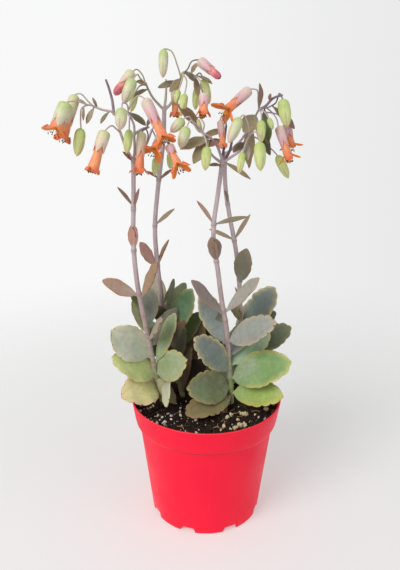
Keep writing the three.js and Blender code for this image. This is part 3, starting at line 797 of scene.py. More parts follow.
def blade_group():
    """Masks of a leaf: margin line, border, notch dots, rust, flushed flank, heart, bloom and veins."""
    tree, start, end = begin_group(
        "blade",
        {"Margin width": 0.8, "Dot size": 0.9},
        ("Margin", "Border", "Dots", "Rust", "Flush", "Heart", "Bloom", "Veins"),
    )
    clouds = clouds_on(tree, 260.0, 900.0)
    wobble = calc("MULTIPLY_ADD", clouds["Cloud"], 0.7, 0.55)
    reach = times(start["Margin width"], wobble)
    edge = attribute(tree, "edge")
    share = calc("DIVIDE", edge, reach)
    # Border: partly the leaf's own paler margin tint and partly painted light, the edges made lighter as if
    # they catch more light.
    soft_edge = times(edge, calc("MULTIPLY_ADD", clouds["Cloud"], 0.6, 0.7))
    send(tree, end, Border=remap(soft_edge, 4.6, 0.3))
    patchy = clouds_on(tree, 190.0, 700.0, 3.1)
    worn = remap(patchy["Cloud"], 0.25, 0.65)
    line = times(remap(share, 1.3, 0.35), calc("MULTIPLY_ADD", worn, 0.6, 0.4))
    send(tree, end, Margin=line)
    send(tree, end, Rust=times(remap(edge, 0.42, 0.08), worn))
    near = calc("DIVIDE", attribute(tree, "notch"), times(start["Dot size"], wobble))
    spots = times(remap(near, 1.2, 0.4), calc("MULTIPLY_ADD", worn, 0.75, 0.2))
    send(tree, end, Dots=spots)
    across = attribute(tree, "across")
    flank = calc("ADD", times(across, 0.55), calc("SUBTRACT", clouds["Cloud"], 0.5))
    send(tree, end, Flush=remap(flank, -0.1, 0.75))
    wide = clouds_on(tree, 60.0, 300.0, 5.3)
    shifted = calc("SUBTRACT", attribute(tree, "along"), times(wide["Cloud"], 0.5))
    send(tree, end, Heart=remap(shifted, 0.45, -0.05))
    powder = calc("SUBTRACT", calc("ADD", attribute(tree, "along"), 0.1),
                  times(patchy["Cloud"], 0.25))
    send(tree, end, Bloom=remap(powder, 0.4, 0.0))
    middle = calc("ABSOLUTE", across)
    vein_place = add(tree, "ShaderNodeCombineXYZ",
                     {"X": times(attribute(tree, "along"), 5.0),
                      "Y": times(middle, 1.6), "Z": 0.0}).outputs[0]
    veins = add(tree, "ShaderNodeTexNoise",
                {"Vector": vein_place, "Scale": 2.2, "Detail": 5.0, "Distortion": 0.4})
    send(tree, end, Veins=remap(veins.outputs["Fac"], 0.42, 0.62))
    return tree


def streak_group():
    """Fine streaks that run from a flower's neck to its tip."""
    tree, start, end = begin_group(
        "streaks",
        {"Fineness": 22.0},
        ("Streak", "Along", "Soft"),
    )
    turn = attribute(tree, "turn")
    along = attribute(tree, "along")
    angle = times(turn, 2 * pi)
    round_ = add(tree, "ShaderNodeCombineXYZ",
                 {"X": calc("COSINE", angle), "Y": calc("SINE", angle),
                  "Z": times(along, 0.35)}).outputs[0]
    fine = add(tree, "ShaderNodeTexNoise",
               {"Vector": round_, "Scale": start["Fineness"], "Detail": 3.0, "Roughness": 0.6})
    clouds = clouds_on(tree, 170.0, 2200.0)
    streak = remap(fine.outputs["Fac"], 0.35, 0.65)
    shifted = calc("ADD", along, times(calc("SUBTRACT", clouds["Cloud"], 0.5), 0.16))
    send(tree, end, Streak=streak, Along=shifted, Soft=clouds["Cloud"])
    return tree


def fleck_group():
    """Scattered small flecks, such as dust specks or dents."""
    tree, start, end = begin_group(
        "flecks",
        {"Scale": 160.0, "Size": 0.07, "Share": 0.3},
        ("Mask",),
    )
    place = object_place(tree)
    cells = add(tree, "ShaderNodeTexVoronoi", {"Vector": place, "Scale": start["Scale"]})
    spot = remap(calc("DIVIDE", cells.outputs["Distance"], start["Size"]), 1.2, 0.7)
    picked = add(tree, "ShaderNodeSeparateColor", {"Color": cells.outputs["Color"]}).outputs["Red"]
    keep = calc("LESS_THAN", picked, start["Share"])
    send(tree, end, Mask=times(spot, keep))
    return tree


SHADER_GROUPS = {
    "clouds": cloud_group,
    "blade": blade_group,
    "streaks": streak_group,
    "flecks": fleck_group,
}


def begin_material(name):
    """An empty node material; returns it with its tree and Principled shader."""
    material = bpy.data.materials.new(name)
    material.use_nodes = True
    tree = material.node_tree
    tree.nodes.clear()
    out = tree.nodes.new("ShaderNodeOutputMaterial")
    shader = tree.nodes.new("ShaderNodeBsdfPrincipled")
    tree.links.new(shader.outputs["BSDF"], out.inputs["Surface"])
    return material, tree, shader


def look(name, make, *values):
    """A material, made where the file hasn't got it yet."""
    return bpy.data.materials.get(name) or make(name, *values)


def surface(shader, colour, roughness, height, strength, distance):
    """Gives a shader its colour, roughness and relief."""
    tree = shader.id_data
    bump = add(tree, "ShaderNodeBump", {"Height": height, "Strength": strength, "Distance": distance})
    values = {"Base Color": colour, "Roughness": roughness, "Normal": bump.outputs["Normal"]}
    for label, value in values.items():
        tree.links.new(value, shader.inputs[label])


def set_constants(shader, values):
    for label, value in values.items():
        shader.inputs[label].default_value = value


def fleshy(shader, subsurface, sheen):
    """Constants of soft plant tissue."""
    set_constants(shader, {
        "Subsurface Weight": subsurface, "Subsurface Radius": (1.0, 0.9, 0.4),
        "Subsurface Scale": 1.6 * MM, "Sheen Weight": sheen, "Sheen Roughness": 0.6,
        "Specular IOR Level": 0.35,
    })


# ---------------------------------------------------------------- materials


def leaf_material(name, finish):
    heart, outer, flush, margin = (linear(c) for c in LEAF_FINISHES[finish])
    settings = chosen("leaves")
    material, tree, shader = begin_material(name)
    shift = float(sorted(LEAF_FINISHES).index(finish)) * 0.37
    clouds = clouds_on(tree, 95.0, 1300.0, shift)
    margin_width = BROAD_MARGINS.get(finish, 0.75)
    zones = place_group(tree, "blade", {"Margin width": margin_width, "Dot size": 0.62})
    flecks = flecks_on(tree, 420.0, 0.16, 0.22)
    colour = mix(zones["Heart"], outer, heart)
    colour = cover(colour, zones["Flush"], 0.75, flush)
    light = tuple(min(1.0, c * 1.22 + 0.015) for c in outer)
    colour = cover(colour, clouds["Cloud"], 0.5, light)
    powder = tuple(0.55 * c + 0.45 * b for c, b in zip(outer, linear((206, 206, 200))))
    colour = cover(colour, zones["Bloom"], 0.5, powder)
    dark = tuple(c * 0.7 for c in outer)
    colour = cover(colour, zones["Veins"], 0.32, dark)
    colour = cover(colour, flecks["Mask"], 0.22, dark)
    scars = flecks_on(tree, 170.0, 0.085, 0.2)
    colour = cover(colour, scars["Mask"], 0.5, tuple(settings.notch_colour))
    # Border: partly the leaf's own paler margin tint and partly painted light, the edges made lighter as if
    # they catch more light.
    border_tint_and_light = tuple(0.5 * c + 0.5 * m for c, m in zip(outer, linear(LEAF_FINISHES[finish][3])))
    colour = cover(colour, zones["Border"], 0.62, border_tint_and_light)
    under = tuple(0.72 * c + 0.28 * m for c, m in zip(outer, linear((176, 158, 150))))
    colour = cover(colour, attribute(tree, "under"), 0.8, under)
    colour = cover(colour, zones["Margin"], 0.85, margin)
    rust = tuple(0.5 * c + 0.5 * m for c, m in zip(settings.notch_colour, margin))
    colour = cover(colour, zones["Rust"], 0.8, rust)
    colour = mix(zones["Dots"], colour, tuple(settings.notch_colour))
    rough = remap(clouds["Cloud"], 0.0, 1.0, 0.48, 0.62)
    bloom = calc("ADD", clouds["Height"], times(zones["Veins"], 0.5))
    surface(shader, colour, rough, bloom, 0.35, 0.12 * MM)
    fleshy(shader, 0.12, 0.12)
    return material


def leaf_look(finish):
    return look("leaf_" + finish, leaf_material, finish)


def stem_material(name):
    settings = chosen("stems")
    material, tree, shader = begin_material(name)
    clouds = clouds_on(tree, 130.0, 1700.0)
    flecks = flecks_on(tree, 520.0, 0.2, 0.3)
    place = object_place(tree)
    height = add(tree, "ShaderNodeSeparateXYZ", {"Vector": place}).outputs["Z"]
    wavy = calc("MULTIPLY_ADD", clouds["Cloud"], 0.03, height)
    lower = tuple(settings.lower_colour)
    upper = tuple(settings.upper_colour)
    colour = mix(remap(wavy, 0.115, 0.15), lower, linear((180, 160, 160)))
    colour = mix(remap(wavy, 0.17, 0.25), colour, upper)
    colour = mix(remap(wavy, 0.308, 0.335), colour, linear((184, 174, 138)))
    stretched = add(tree, "ShaderNodeMapping", {"Vector": place, "Scale": (1.0, 1.0, 0.06)}).outputs[0]
    fibre = add(tree, "ShaderNodeTexNoise", {"Vector": stretched, "Scale": 1400.0, "Detail": 3.0})
    lines = remap(fibre.outputs["Fac"], 0.4, 0.62)
    colour = cover(colour, lines, 0.2, linear((130, 100, 100)))
    colour = cover(colour, clouds["Cloud"], 0.3, linear((206, 190, 184)))
    colour = cover(colour, flecks["Mask"], 0.35, linear((112, 84, 74)))
    colour = cover(colour, attribute(tree, "joint"), 0.45, linear((150, 116, 100)))
    purple = times(attribute(tree, "purple"), calc("MULTIPLY_ADD", clouds["Cloud"], 0.3, 0.6))
    colour = mix(purple, colour, linear((104, 78, 104)))
    surface(shader, colour, remap(clouds["Grain"], 0.2, 0.8, 0.45, 0.66),
            calc("ADD", clouds["Height"], lines), 0.35, 0.1 * MM)
    fleshy(shader, 0.06, 0.1)
    return material


def calyx_material(name, finish):
    neck, middle, lobes = (linear(c) for c in CALYX_FINISHES[finish])
    material, tree, shader = begin_material(name)
    streaks = place_group(tree, "streaks", {"Fineness": 5.0})
    clouds = clouds_on(tree, 300.0, 2600.0)
    flecks = flecks_on(tree, 700.0, 0.18, 0.25)
    along = streaks["Along"]
    colour = mix(remap(along, 0.05, 0.5), neck, middle)
    colour = mix(remap(along, 0.45, 0.95), colour, lobes)
    pale = tuple(min(1.0, c * 1.16 + 0.02) for c in middle)
    deep = tuple(c * 0.8 for c in neck)
    colour = cover(colour, streaks["Streak"], 0.3, pale)
    colour = cover(colour, clouds["Cloud"], 0.2, deep)
    colour = cover(colour, flecks["Mask"], 0.2, deep)
    colour = cover(colour, attribute(tree, "seam"), 0.5, linear((168, 150, 96)))
    surface(shader, colour, remap(clouds["Cloud"], 0.0, 1.0, 0.38, 0.52),
            calc("ADD", clouds["Height"], streaks["Streak"]), 0.3, 0.08 * MM)
    fleshy(shader, 0.22, 0.08)
    return material


def petal_material(name):
    settings = chosen("flowers")
    material, tree, shader = begin_material(name)
    streaks = place_group(tree, "streaks", {"Fineness": 7.0})
    along = streaks["Along"]
    tube_colour = tuple(settings.petal_colour)
    lobe_colour = tuple(settings.lobe_colour)
    colour = mix(remap(along, 0.3, 0.85), tube_colour, lobe_colour)
    colour = cover(colour, streaks["Streak"], 0.32, linear((255, 176, 116)))
    colour = cover(colour, streaks["Soft"], 0.25, linear((240, 116, 104)))
    colour = cover(colour, attribute(tree, "inside"), 0.72, linear((246, 138, 36)))
    surface(shader, colour, remap(streaks["Soft"], 0.0, 1.0, 0.36, 0.5), streaks["Streak"], 0.35, 0.08 * MM)
    fleshy(shader, 0.25, 0.1)
    return material


def closed_petal_material(name):
    material, tree, shader = begin_material(name)
    streaks = place_group(tree, "streaks", {"Fineness": 6.0})
    along = streaks["Along"]
    colour = mix(remap(along, 0.4, 0.75), linear((234, 154, 150)), linear((214, 98, 118)))
    colour = mix(remap(along, 0.9, 1.0), colour, linear((92, 24, 38)))
    colour = cover(colour, streaks["Streak"], 0.35, linear((236, 160, 158)))
    surface(shader, colour, remap(streaks["Soft"], 0.0, 1.0, 0.36, 0.5), streaks["Streak"], 0.3, 0.08 * MM)
    fleshy(shader, 0.22, 0.1)
    return material


def filament_material(name):
    material, tree, shader = begin_material(name)
    clouds = clouds_on(tree, 900.0, 3000.0)
    colour = mix(attribute(tree, "along"), linear((214, 190, 96)), linear((238, 206, 128)))
    colour = cover(colour, clouds["Cloud"], 0.3, linear((220, 120, 60)))
    surface(shader, colour, remap(clouds["Grain"], 0.2, 0.8, 0.4, 0.6), clouds["Height"], 0.2, 0.03 * MM)
    fleshy(shader, 0.2, 0.05)
    return material


def anther_material(name):
    settings = chosen("flowers")
    material, tree, shader = begin_material(name)
    clouds = clouds_on(tree, 1500.0, 5000.0)
    colour = mix(times(clouds["Cloud"], 0.5), tuple(settings.anther_colour),
                 linear((92, 62, 44)))
    surface(shader, colour, remap(clouds["Grain"], 0.2, 0.8, 0.6, 0.85), clouds["Height"], 0.5, 0.08 * MM)
    return material


def pot_material():
    settings = chosen("pot")
    material, tree, shader = begin_material("pot_plastic_look")
    clouds = clouds_on(tree, 34.0, 2600.0)
    dust = flecks_on(tree, 150.0, 0.05, 0.09)
    fine_dust = flecks_on(tree, 520.0, 0.1, 0.05)
    base = tuple(settings.colour)
    deep = tuple(c * 0.9 for c in base)
    colour = mix(times(clouds["Cloud"], 0.35), base, deep)
    colour = cover(colour, clouds["Grain"], 0.04, linear((255, 120, 140)))
    specks = calc("MAXIMUM", dust["Mask"], fine_dust["Mask"])
    colour = cover(colour, specks, 0.32, linear((255, 170, 180)))
    place = object_place(tree)
    height = add(tree, "ShaderNodeSeparateXYZ", {"Vector": place}).outputs["Z"]
    # Painted highlight: the top of the rim is made lighter pink, as where it catches the light.
    rim = remap(height, 0.0910, 0.0918)
    colour = cover(colour, rim, 0.16, linear((255, 120, 120)))
    # Painted shade: a darker red line along the step under the band, where shade falls.
    ledge = settings.height - settings.band_height
    off_ledge = calc("ABSOLUTE", calc("SUBTRACT", height, ledge - 0.0002))
    ledge_shade = remap(off_ledge, 0.0011, 0.0002)
    colour = cover(colour, ledge_shade, 0.55, linear((150, 6, 26)))
    rough = remap(clouds["Cloud"], 0.0, 1.0, 0.38, 0.5)
    rough = calc("ADD", rough, times(specks, 0.25))
    height_mix = calc("ADD", times(clouds["Height"], 0.25),
                      calc("ADD", specks, times(clouds["Cloud"], 0.6)))
    surface(shader, colour, rough, height_mix, 0.3, 0.12 * MM)
    set_constants(shader, {"Specular IOR Level": 0.2, "Subsurface Weight": 0.0})
    return material


def soil_material(name, first, second, rough_low=0.85, bump_size=0.5):
    material, tree, shader = begin_material(name)
    clouds = clouds_on(tree, 420.0, 1900.0)
    colour = mix(clouds["Cloud"], first, second)
    colour = cover(colour, clouds["Grain"], 0.35, tuple(c * 0.55 for c in first))
    surface(shader, colour, remap(clouds["Grain"], 0.2, 0.8, rough_low, 1.0), clouds["Height"], 0.8,
            bump_size * MM)
    shader.inputs["Specular IOR Level"].default_value = 0.2
    return material


# ---------------------------------------------------------------- pot, soil


# The pot's foot: notches in its ring, and the raised channel round its middle disc.
NOTCHES = 8
FIRST_NOTCH = radians(-108)
DISC_RADIUS = 28.0
# Radius within which loose grains and fibres lie.
GRIT_REACH = 51.0


def pot_patch(settings):
    """The pot as a turned skin whose foot ring is lifted at the notches."""
    mm = {k: getattr(settings, k) / MM for k in (
        "height", "rim_radius", "band_height", "band_foot_radius", "shoulder_radius",
        "foot_radius", "wall", "notch_width", "notch_height")}
    wall, top, rim, foot = mm["wall"], mm["height"], mm["rim_radius"], mm["foot_radius"]
    shoulder, band_foot = mm["shoulder_radius"], mm["band_foot_radius"]
    ledge = top - mm["band_height"]
    slope = (rim - band_foot) / mm["band_height"]
    lift, disc = 4.0, DISC_RADIUS
    notch_top = 10.0

    def side(z):
        return foot + (shoulder - foot) * z / ledge

    outer = [(foot - 0.75, 0.0), (foot - 0.3, 0.12), (foot + 0.05, 0.55), (side(2.0) + 0.05, 2.0),
             (side(4.5), 4.5),
             (side(7.5), 7.5)]
    outer += [(side(z), z) for z in np.linspace(11.0, ledge - 4.0, 22)]
    outer += [(side(ledge - 2.6), ledge - 2.6), (shoulder - 0.05, ledge - 1.5),
              (shoulder + 0.35, ledge - 0.7),
              (shoulder + 1.1, ledge), (band_foot - 0.35, ledge + 0.75), (band_foot + 0.05, ledge + 1.5),
              (band_foot + 0.3, ledge + 2.6)]
    outer += [(band_foot + slope * (z - ledge), z) for z in np.linspace(ledge + 4.5, top - 1.2, 9)]
    lip = [(rim - 0.1, top - 0.6), (rim - 0.25, top - 0.2), (rim - 0.55, top), (rim - wall * 0.8, top),
           (rim - wall - 0.1, top - 0.25)]
    inner = [(rim - wall - 0.25, top - 1.0), (band_foot - wall + 0.6, ledge + 6.0),
             (band_foot - wall, ledge + wall + 0.8),
             (shoulder - wall + 0.6, ledge + wall - 0.2), (shoulder - wall, ledge - 1.0)]
    inner += [(side(z) - wall, z) for z in np.linspace(ledge - 8.0, lift + 4.0, 8)]
    inner += [(foot - wall + 0.4, lift + wall + 0.6), (foot - wall - 0.6, lift + wall),
              (disc + 1.0, lift + wall),
              (disc - 1.4, lift + wall - 0.4), (disc - 2.4, wall), (6.0, wall), (0.0, wall)]
    under = [(0.0, 0.0), (6.0, 0.0), (disc - 0.6, 0.0), (disc, 0.3), (disc + 0.7, lift - 0.4),
             (disc + 1.6, lift),
             (foot - wall - 1.0, lift), (foot - wall - 0.1, lift - 0.4), (foot - wall, 2.0),
             (foot - wall, 0.5), (foot - wall + 0.2, 0.1)]
    profile = np.array(outer + lip + inner + under)
    sides = 360
    turns = full_turn(sides)
    step = 2 * pi / NOTCHES
    offset = (turns - FIRST_NOTCH + step / 2) % step - step / 2
    half = mm["notch_width"] / 2 / foot
    slope_in, slope_out = step_up(offset + half, -0.03, 0.05), step_up(half - offset, -0.008, 0.026)
    lifted = mm["notch_height"] * np.minimum(slope_in, slope_out)
    points = []
    for k, (r, z) in enumerate(profile):
        skirt = k < len(outer) or (k >= len(profile) - 5)
        lifted_here = lifted * max(0.0, 1 - z / notch_top) if skirt and r > disc + 4 else 0.0
        if k >= len(profile) - 5:
            lifted_here = np.minimum(lifted_here, max(0.0, lift - 0.3 - z))
        points.append(circle(r, turns, z + lifted_here))
    faces = grid_faces(len(profile), sides, True)
    end = (len(profile) - 1) * sides
    faces += [(end + j, end + (j + 1) % sides, (j + 1) % sides, j) for j in range(sides)]
    return patch(np.vstack(points), faces)


def make_pot():
    settings = chosen("pot")
    made = pot_patch(settings)
    piece = make_object("nursery_pot", made, [pot_material()], merge=0.01)
    cutters = []
    channel = (DISC_RADIUS + settings.foot_radius / MM - settings.wall / MM) / 2 + 0.5
    for i in range(NOTCHES):
        turn = FIRST_NOTCH + (i + 0.5) * 2 * pi / NOTCHES
        x, y = channel * cos(turn), channel * sin(turn)
        cutters.append(tube([(x, y, 1.0), (x, y, 4.0), (x, y, 7.5)], 4.0, 32))
    cutter = bare_object("drain_holes", join(cutters))
    cut = piece.modifiers.new("drain", "BOOLEAN")
    cut.operation = "DIFFERENCE"
    cut.solver = "EXACT"
    cut.object = cutter
    apply_modifiers(piece)
    bpy.data.objects.remove(cutter)
    piece.data.set_sharp_from_angle(angle=radians(50))
    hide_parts("pot")
    return piece


def soil_height(x, y, settings):
    """Height of the soil surface at a place, in millimetres."""
    radius = hypot(x, y)
    level = settings.level / MM + settings.crown / MM * (1 - (radius / 52.0) ** 2)
    here = Vector((x, y, 0.0))
    rough = 1.3 * noise.noise(here * 0.09) + 0.8 * noise.noise(here * 0.31 + Vector((7, 3, 1)))
    rough += 0.5 * noise.noise(here * 0.85 + Vector((1, 9, 4)))
    return level - 0.6 + rough * min(1.0, (54.0 - radius) / 6.0)


def make_soil():
    settings = chosen("soil")
    low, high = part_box("soil")
    outer = (high.x - low.x) / 2 / MM - 0.2
    rings, sides = 120, 300
    points = [(0.0, 0.0, soil_height(0, 0, settings))]
    turns = full_turn(sides)
    for i in range(1, rings + 1):
        radius = outer * i / rings
        for turn in turns:
            x, y = radius * cos(turn), radius * sin(turn)
            points.append((x, y, soil_height(x, y, settings)))
    rim = len(points) - sides
    faces = [(0, 1 + j, 1 + (j + 1) % sides) for j in range(sides)]
    faces += grid_faces(rings, sides, True, True, 1)
    for turn in turns:
        points.append(((outer - 0.6) * cos(turn), (outer - 0.6) * sin(turn), 78.0))
    skirt = rim + sides
    faces += [(rim + j, skirt + j, skirt + (j + 1) % sides, rim + (j + 1) % sides) for j in range(sides)]
    faces.append(tuple(skirt + j for j in range(sides))[::-1])
    material = soil_material("peat_look", tuple(settings.colour), tuple(c * 2.2 for c in settings.colour))
    made = make_object("soil_surface", patch(points, faces), [material])
    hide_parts("soil")
    return made


def unit_lump(detail):
    """Points and faces of a round lump of radius 1."""
    work = bmesh.new()
    bmesh.ops.create_icosphere(work, subdivisions=detail, radius=1.0)
    points = np.array([v.co for v in work.verts])
    faces = [tuple(v.index for v in f.verts) for f in work.faces]
    work.free()
    return points, faces


def scatter(count, draw, weight):
    """Places on the soil, kept inside the pot and clear of the stalks."""
    stalks = [STALKS[k][1][:2] for k in STALKS]
    found = []
    while len(found) < count:
        radius, turn = GRIT_REACH * sqrt(draw.random()), draw.uniform(0, 2 * pi)
        x, y = radius * cos(turn), radius * sin(turn)
        if min(hypot(x - sx, y - sy) for sx, sy in stalks) < 3.2:
            continue
        if draw.random() < weight(x, y):
            found.append((x, y))
    return found


def lumps(places, sizes, squash, rough, sink, seed, detail, finish=0):
    """Irregular lumps on the soil at the given places."""
    settings = chosen("soil")
    draw = random.Random(seed)
    ball, faces = unit_lump(detail)
    made = []
    for x, y in places:
        size = sizes[0] + (sizes[1] - sizes[0]) * draw.random() ** 2
        shape = ball * np.array([1, draw.uniform(*squash), draw.uniform(*squash)])
        shift = Vector((draw.uniform(0, 90), draw.uniform(0, 90), draw.uniform(0, 90)))
        swell = np.array([1 + rough * noise.noise(Vector(p) * 1.4 + shift) for p in ball])
        turn = Euler([draw.uniform(0, 6.3) for _ in range(3)]).to_matrix()
        shape = (shape * swell[:, None]) @ np.array(turn).T * size
        shape += np.array([x, y, soil_height(x, y, settings) + size * sink])
        made.append(patch(shape, faces, finish))
    return join(made)


def make_crumbs():
    settings = chosen("soil")
    draw = random.Random(11)
    small = scatter(settings.crumbs, draw, lambda x, y: 1.0)
    large = scatter(settings.crumbs // 8, draw, lambda x, y: 1.0)
    made = join([
        lumps(small, (0.45, 1.3), (0.5, 0.9), 0.9, 0.2, 12, 1),
        lumps(large, (1.3, 2.4), (0.5, 0.8), 0.9, 0.1, 13, 2, 1),
    ])
    looks = [soil_material("crumb_look", linear((48, 35, 27)), linear((28, 20, 16))),
             soil_material("bark_look", linear((74, 54, 40)), linear((44, 32, 25)))]
    piece = make_object("peat_crumbs", made, looks)
    return piece


# Places of the large pale stones near the front of the pot.
STONES = [(23, -32), (28, -16), (20, -35), (44, -9), (26, -30)]


def make_perlite():
    settings = chosen("soil")
    draw = random.Random(21)

    def front_left(x, y):
        return 0.12 + 0.88 * exp(-((x + 34) ** 2 + (y + 26) ** 2) / 420.0)

    def front_right(x, y):
        return 0.06 + 0.94 * exp(-((x - 25) ** 2 + (y + 24) ** 2) / 200.0)

    grains = scatter(settings.grit, draw, front_left)
    stones = scatter(settings.grit // 16, draw, front_right)
    made = join([
        lumps(grains, (0.25, 1.35), (0.55, 0.95), 0.8, 0.4, 22, 2),
        lumps(stones, (1.0, 1.8), (0.6, 0.9), 0.8, 0.4, 23, 3, 1),
        lumps(STONES, (1.7, 2.6), (0.6, 0.85), 0.8, 0.45, 24, 3, 1),
    ])
    looks = [soil_material("perlite_look", linear((236, 232, 222)), linear((216, 208, 194)), 0.7, 0.2),
             soil_material("pumice_look", linear((230, 218, 180)), linear((200, 184, 146)), 0.75, 0.3)]
    piece = make_object("perlite_grains", made, looks)
    return piece


def make_fibres():
    settings = chosen("soil")
    draw = random.Random(31)
    made = []
    for x, y in scatter(settings.straws, draw, lambda x, y: 0.4 + 0.6 * (y < 0)):
        reach, turn = draw.uniform(2.5, 8.0), draw.uniform(0, pi)
        path = []
        bend = draw.uniform(-0.8, 0.8)
        for share in np.linspace(-0.5, 0.5, 7):
            px = x + reach * share * cos(turn + bend * share)
            py = y + reach * share * sin(turn + bend * share)
            radius = hypot(px, py)
            if radius > GRIT_REACH:
                px, py = px * GRIT_REACH / radius, py * GRIT_REACH / radius
            path.append((px, py, soil_height(px, py, settings) + 0.75 + 0.5 * draw.random()))
        thick = draw.uniform(0.12, 0.34)
        made.append(tube(smooth_path(path, 0.8), thick, 8, draw.choice((0, 1, 1))))
    twig = smooth_path([(14, -14, 84), (15, -13, 89), (17, -12, 94), (17, -12, 97)], 1.0)
    made.append(tube(twig, np.linspace(0.5, 0.3, len(twig)), 10, 0))
    looks = [soil_material("straw_look", linear((176, 144, 104)), linear((138, 106, 74)), 0.7, 0.1),
             soil_material("root_look", linear((112, 84, 60)), linear((84, 62, 46)), 0.7, 0.1)]
    piece = make_object("peat_fibres", join(made), looks)
    return piece


# -------------------------------------------------------------------- stems


def joints_of(stem):
    """Places on a stalk where leaves and bracts are attached."""
    lines = smooth_path(STALKS[stem], 1.0)
    tree = KDTree(len(lines))
    for i, point in enumerate(lines):
        tree.insert(point, i)
    tree.balance()
    found = []
    for node in sorted(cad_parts):
        if node.startswith("leaf_" + stem):
            base = measure_blade(node)["base"]
            found.append(tree.find(base)[0])
    for owner, base, *_ in SMALL_LEAVES + BRACTS:
        if owner == stem:
            place, _, distance = tree.find(base)
            if distance < 4.5:
                found.append(place)
    return [np.array(p) for p in found]


def routes_of(stem):
    """Every centre line of a stem with the radius at each of its points."""
    settings = chosen("stems")
    branch = settings.branch_radius / MM
    thin = settings.flower_stalk_radius / MM
    stalk = smooth_path(STALKS[stem], 1.0)
    share = np.linspace(0, 1, len(stalk))
    thick = settings.lower_radius / MM * (1 - share) + settings.upper_radius / MM * share
    for place in joints_of(stem):
        gap = norm(stalk - place, axis=1)
        thick = thick + 0.2 * np.exp(-((gap / 1.5) ** 2))
    thick = np.minimum(thick, settings.lower_radius / MM + 0.6)
    found = [(stalk, thick)]
    for points in BRANCHES[stem]:
        line = smooth_path(points, 0.9)
        found.append((line, np.linspace(branch * 1.15, branch * 0.8, len(line))))
    stalks = []
    for name, (owner, points) in FLOWER_STALKS.items():
        if owner == stem:
            stalks.append((points, FLOWER_NECKS[name]))
    for owner, points, tip, *_ in SMALL_FLOWERS:
        if owner == stem:
            stalks.append((points, (np.array(points[-1], float), np.array(tip, float))))
    for points, (neck, tip) in stalks:
        last = neck + unit(tip - neck) * 0.8
        line = smooth_path(points[:-1] + [tuple(neck), tuple(last)], 0.7)
        radius = np.linspace(thin * 1.15, thin, len(line))
        radius[-3:] *= np.array([1.1, 1.25, 1.3])
        found.append((line, radius))
    return found


def relax(points, edges, rounds, share):
    """Evens out points along their edges without shrinking thin stalks much."""
    a, b = edges[:, 0], edges[:, 1]
    count = len(points)
    degree = np.bincount(a, minlength=count) + np.bincount(b, minlength=count)
    degree = np.maximum(degree, 1)[:, None]
    for i in range(rounds * 2):
        sums = []
        for k in range(3):
            sums.append(np.bincount(a, points[b, k], count) + np.bincount(b, points[a, k], count))
        total = np.stack(sums, axis=1)
        pull = share if i % 2 == 0 else -share * 1.02
        points = points + (total / degree - points) * pull
    return points


PURPLE_RODS = {
    "a": [BRANCHES["a"][1], FLOWER_STALKS["open_flower_a4"][1]],
    "b": [FLOWER_STALKS["bud_b4"][1]],
    "c": [BRANCHES["c"][1], BRANCHES["c"][2]],
    "d": [BRANCHES["d"][2], FLOWER_STALKS["bud_d1"][1]],
}


def make_stem(stem, name, node):
    settings = chosen("stems")
    made = join([tube(line, radius, 14) for line, radius in routes_of(stem)])
    piece = bare_object(name, made)
    fuse = piece.modifiers.new("fuse", "REMESH")
    fuse.mode = "VOXEL"
    fuse.voxel_size = settings.voxel
    apply_modifiers(piece)
    mesh = piece.data
    points = coordinates(mesh)
    edges = np.empty(len(mesh.edges) * 2, np.int32)
    mesh.edges.foreach_get("vertices", edges)
    points = relax(points, edges.reshape(-1, 2), 6, 0.5)
    joint = np.zeros(len(points))
    for place in joints_of(stem):
        gap = points[:, 2] / MM - place[2]
        near = norm(points / MM - place, axis=1) < 5
        joint = np.maximum(joint, near * np.exp(-((gap / 0.9) ** 2)))
    purple = np.zeros(len(points))
    for route in PURPLE_RODS[stem]:
        line = smooth_path(route, 0.9)
        for i, place in enumerate(line):
            fade = min(1.0, i / 5)
            near = norm(points / MM - place, axis=1)
            purple = np.maximum(purple, fade * step_up(near, 1.9, 1.2))
    mesh.vertices.foreach_set("co", points.astype(np.float32).ravel())
    for name, values in (("joint", joint), ("purple", purple)):
        layer = mesh.attributes.new(name, "FLOAT", "POINT")
        layer.data.foreach_set("value", values.astype(np.float32))
    mesh.materials.append(look("stem_skin_look", stem_material))
    mesh.shade_smooth()
    mesh.update()
    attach(piece, "root")
    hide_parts(node)
    return piece


STEM_NODES = {
    "a": "stem_front_left", "b": "stem_back_left", "c": "stem_front_right", "d": "stem_back_right",
}


# ------------------------------------------------------------------- leaves


def node_points(node):
    return coordinates(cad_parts[node].data) / MM


def long_axis(points):
    """Middle of the points and their axes, the longest first."""
    middle = (points.max(0) + points.min(0)) / 2
    return middle, np.linalg.svd(points - points.mean(0), full_matrices=False)[2]


def stalk_distance(stem, point):
    lines = np.array(STALKS[stem], float)
    best = 1e9
    for low, high in zip(lines[:-1], lines[1:]):
        way = high - low
        share = np.clip((point - low) @ way / (way @ way), 0, 1)
        best = min(best, norm(low + way * share - point))
    return best


def measure_blade(node):
    """Base, tip, width, upper side and rise of a framed leaf."""
    points = node_points(node)
    _, axes = long_axis(points)
    shares = points @ axes[0]
    base, tip = points[shares.argmin()], points[shares.argmax()]
    stem = node.split("_")[1][0]
    if stalk_distance(stem, base) > stalk_distance(stem, tip):
        base, tip = tip, base
    along = unit(tip - base)
    side = unit(axes[1] - along * (axes[1] @ along))
    up = np.cross(side, along)
    if up @ TOWARDS_LIGHT < 0:
        side, up = -side, -up
    across = points @ side
    middle = points[np.abs((points - base) @ along / norm(tip - base) - 0.5) < 0.12]
    rise = float(np.mean((middle - base) @ up)) if len(middle) else 0.0
    return {"base": base, "tip": tip, "width": float(np.ptp(across)), "up": up, "rise": rise}


# Places across a blade, from one margin to the other.
SPREAD = np.array([0.0, 0.22, 0.42, 0.6, 0.74, 0.85, 0.93, 0.98, 1.0])
ACROSS = np.concatenate([-SPREAD[::-1], SPREAD[1:]])
BROAD = 15


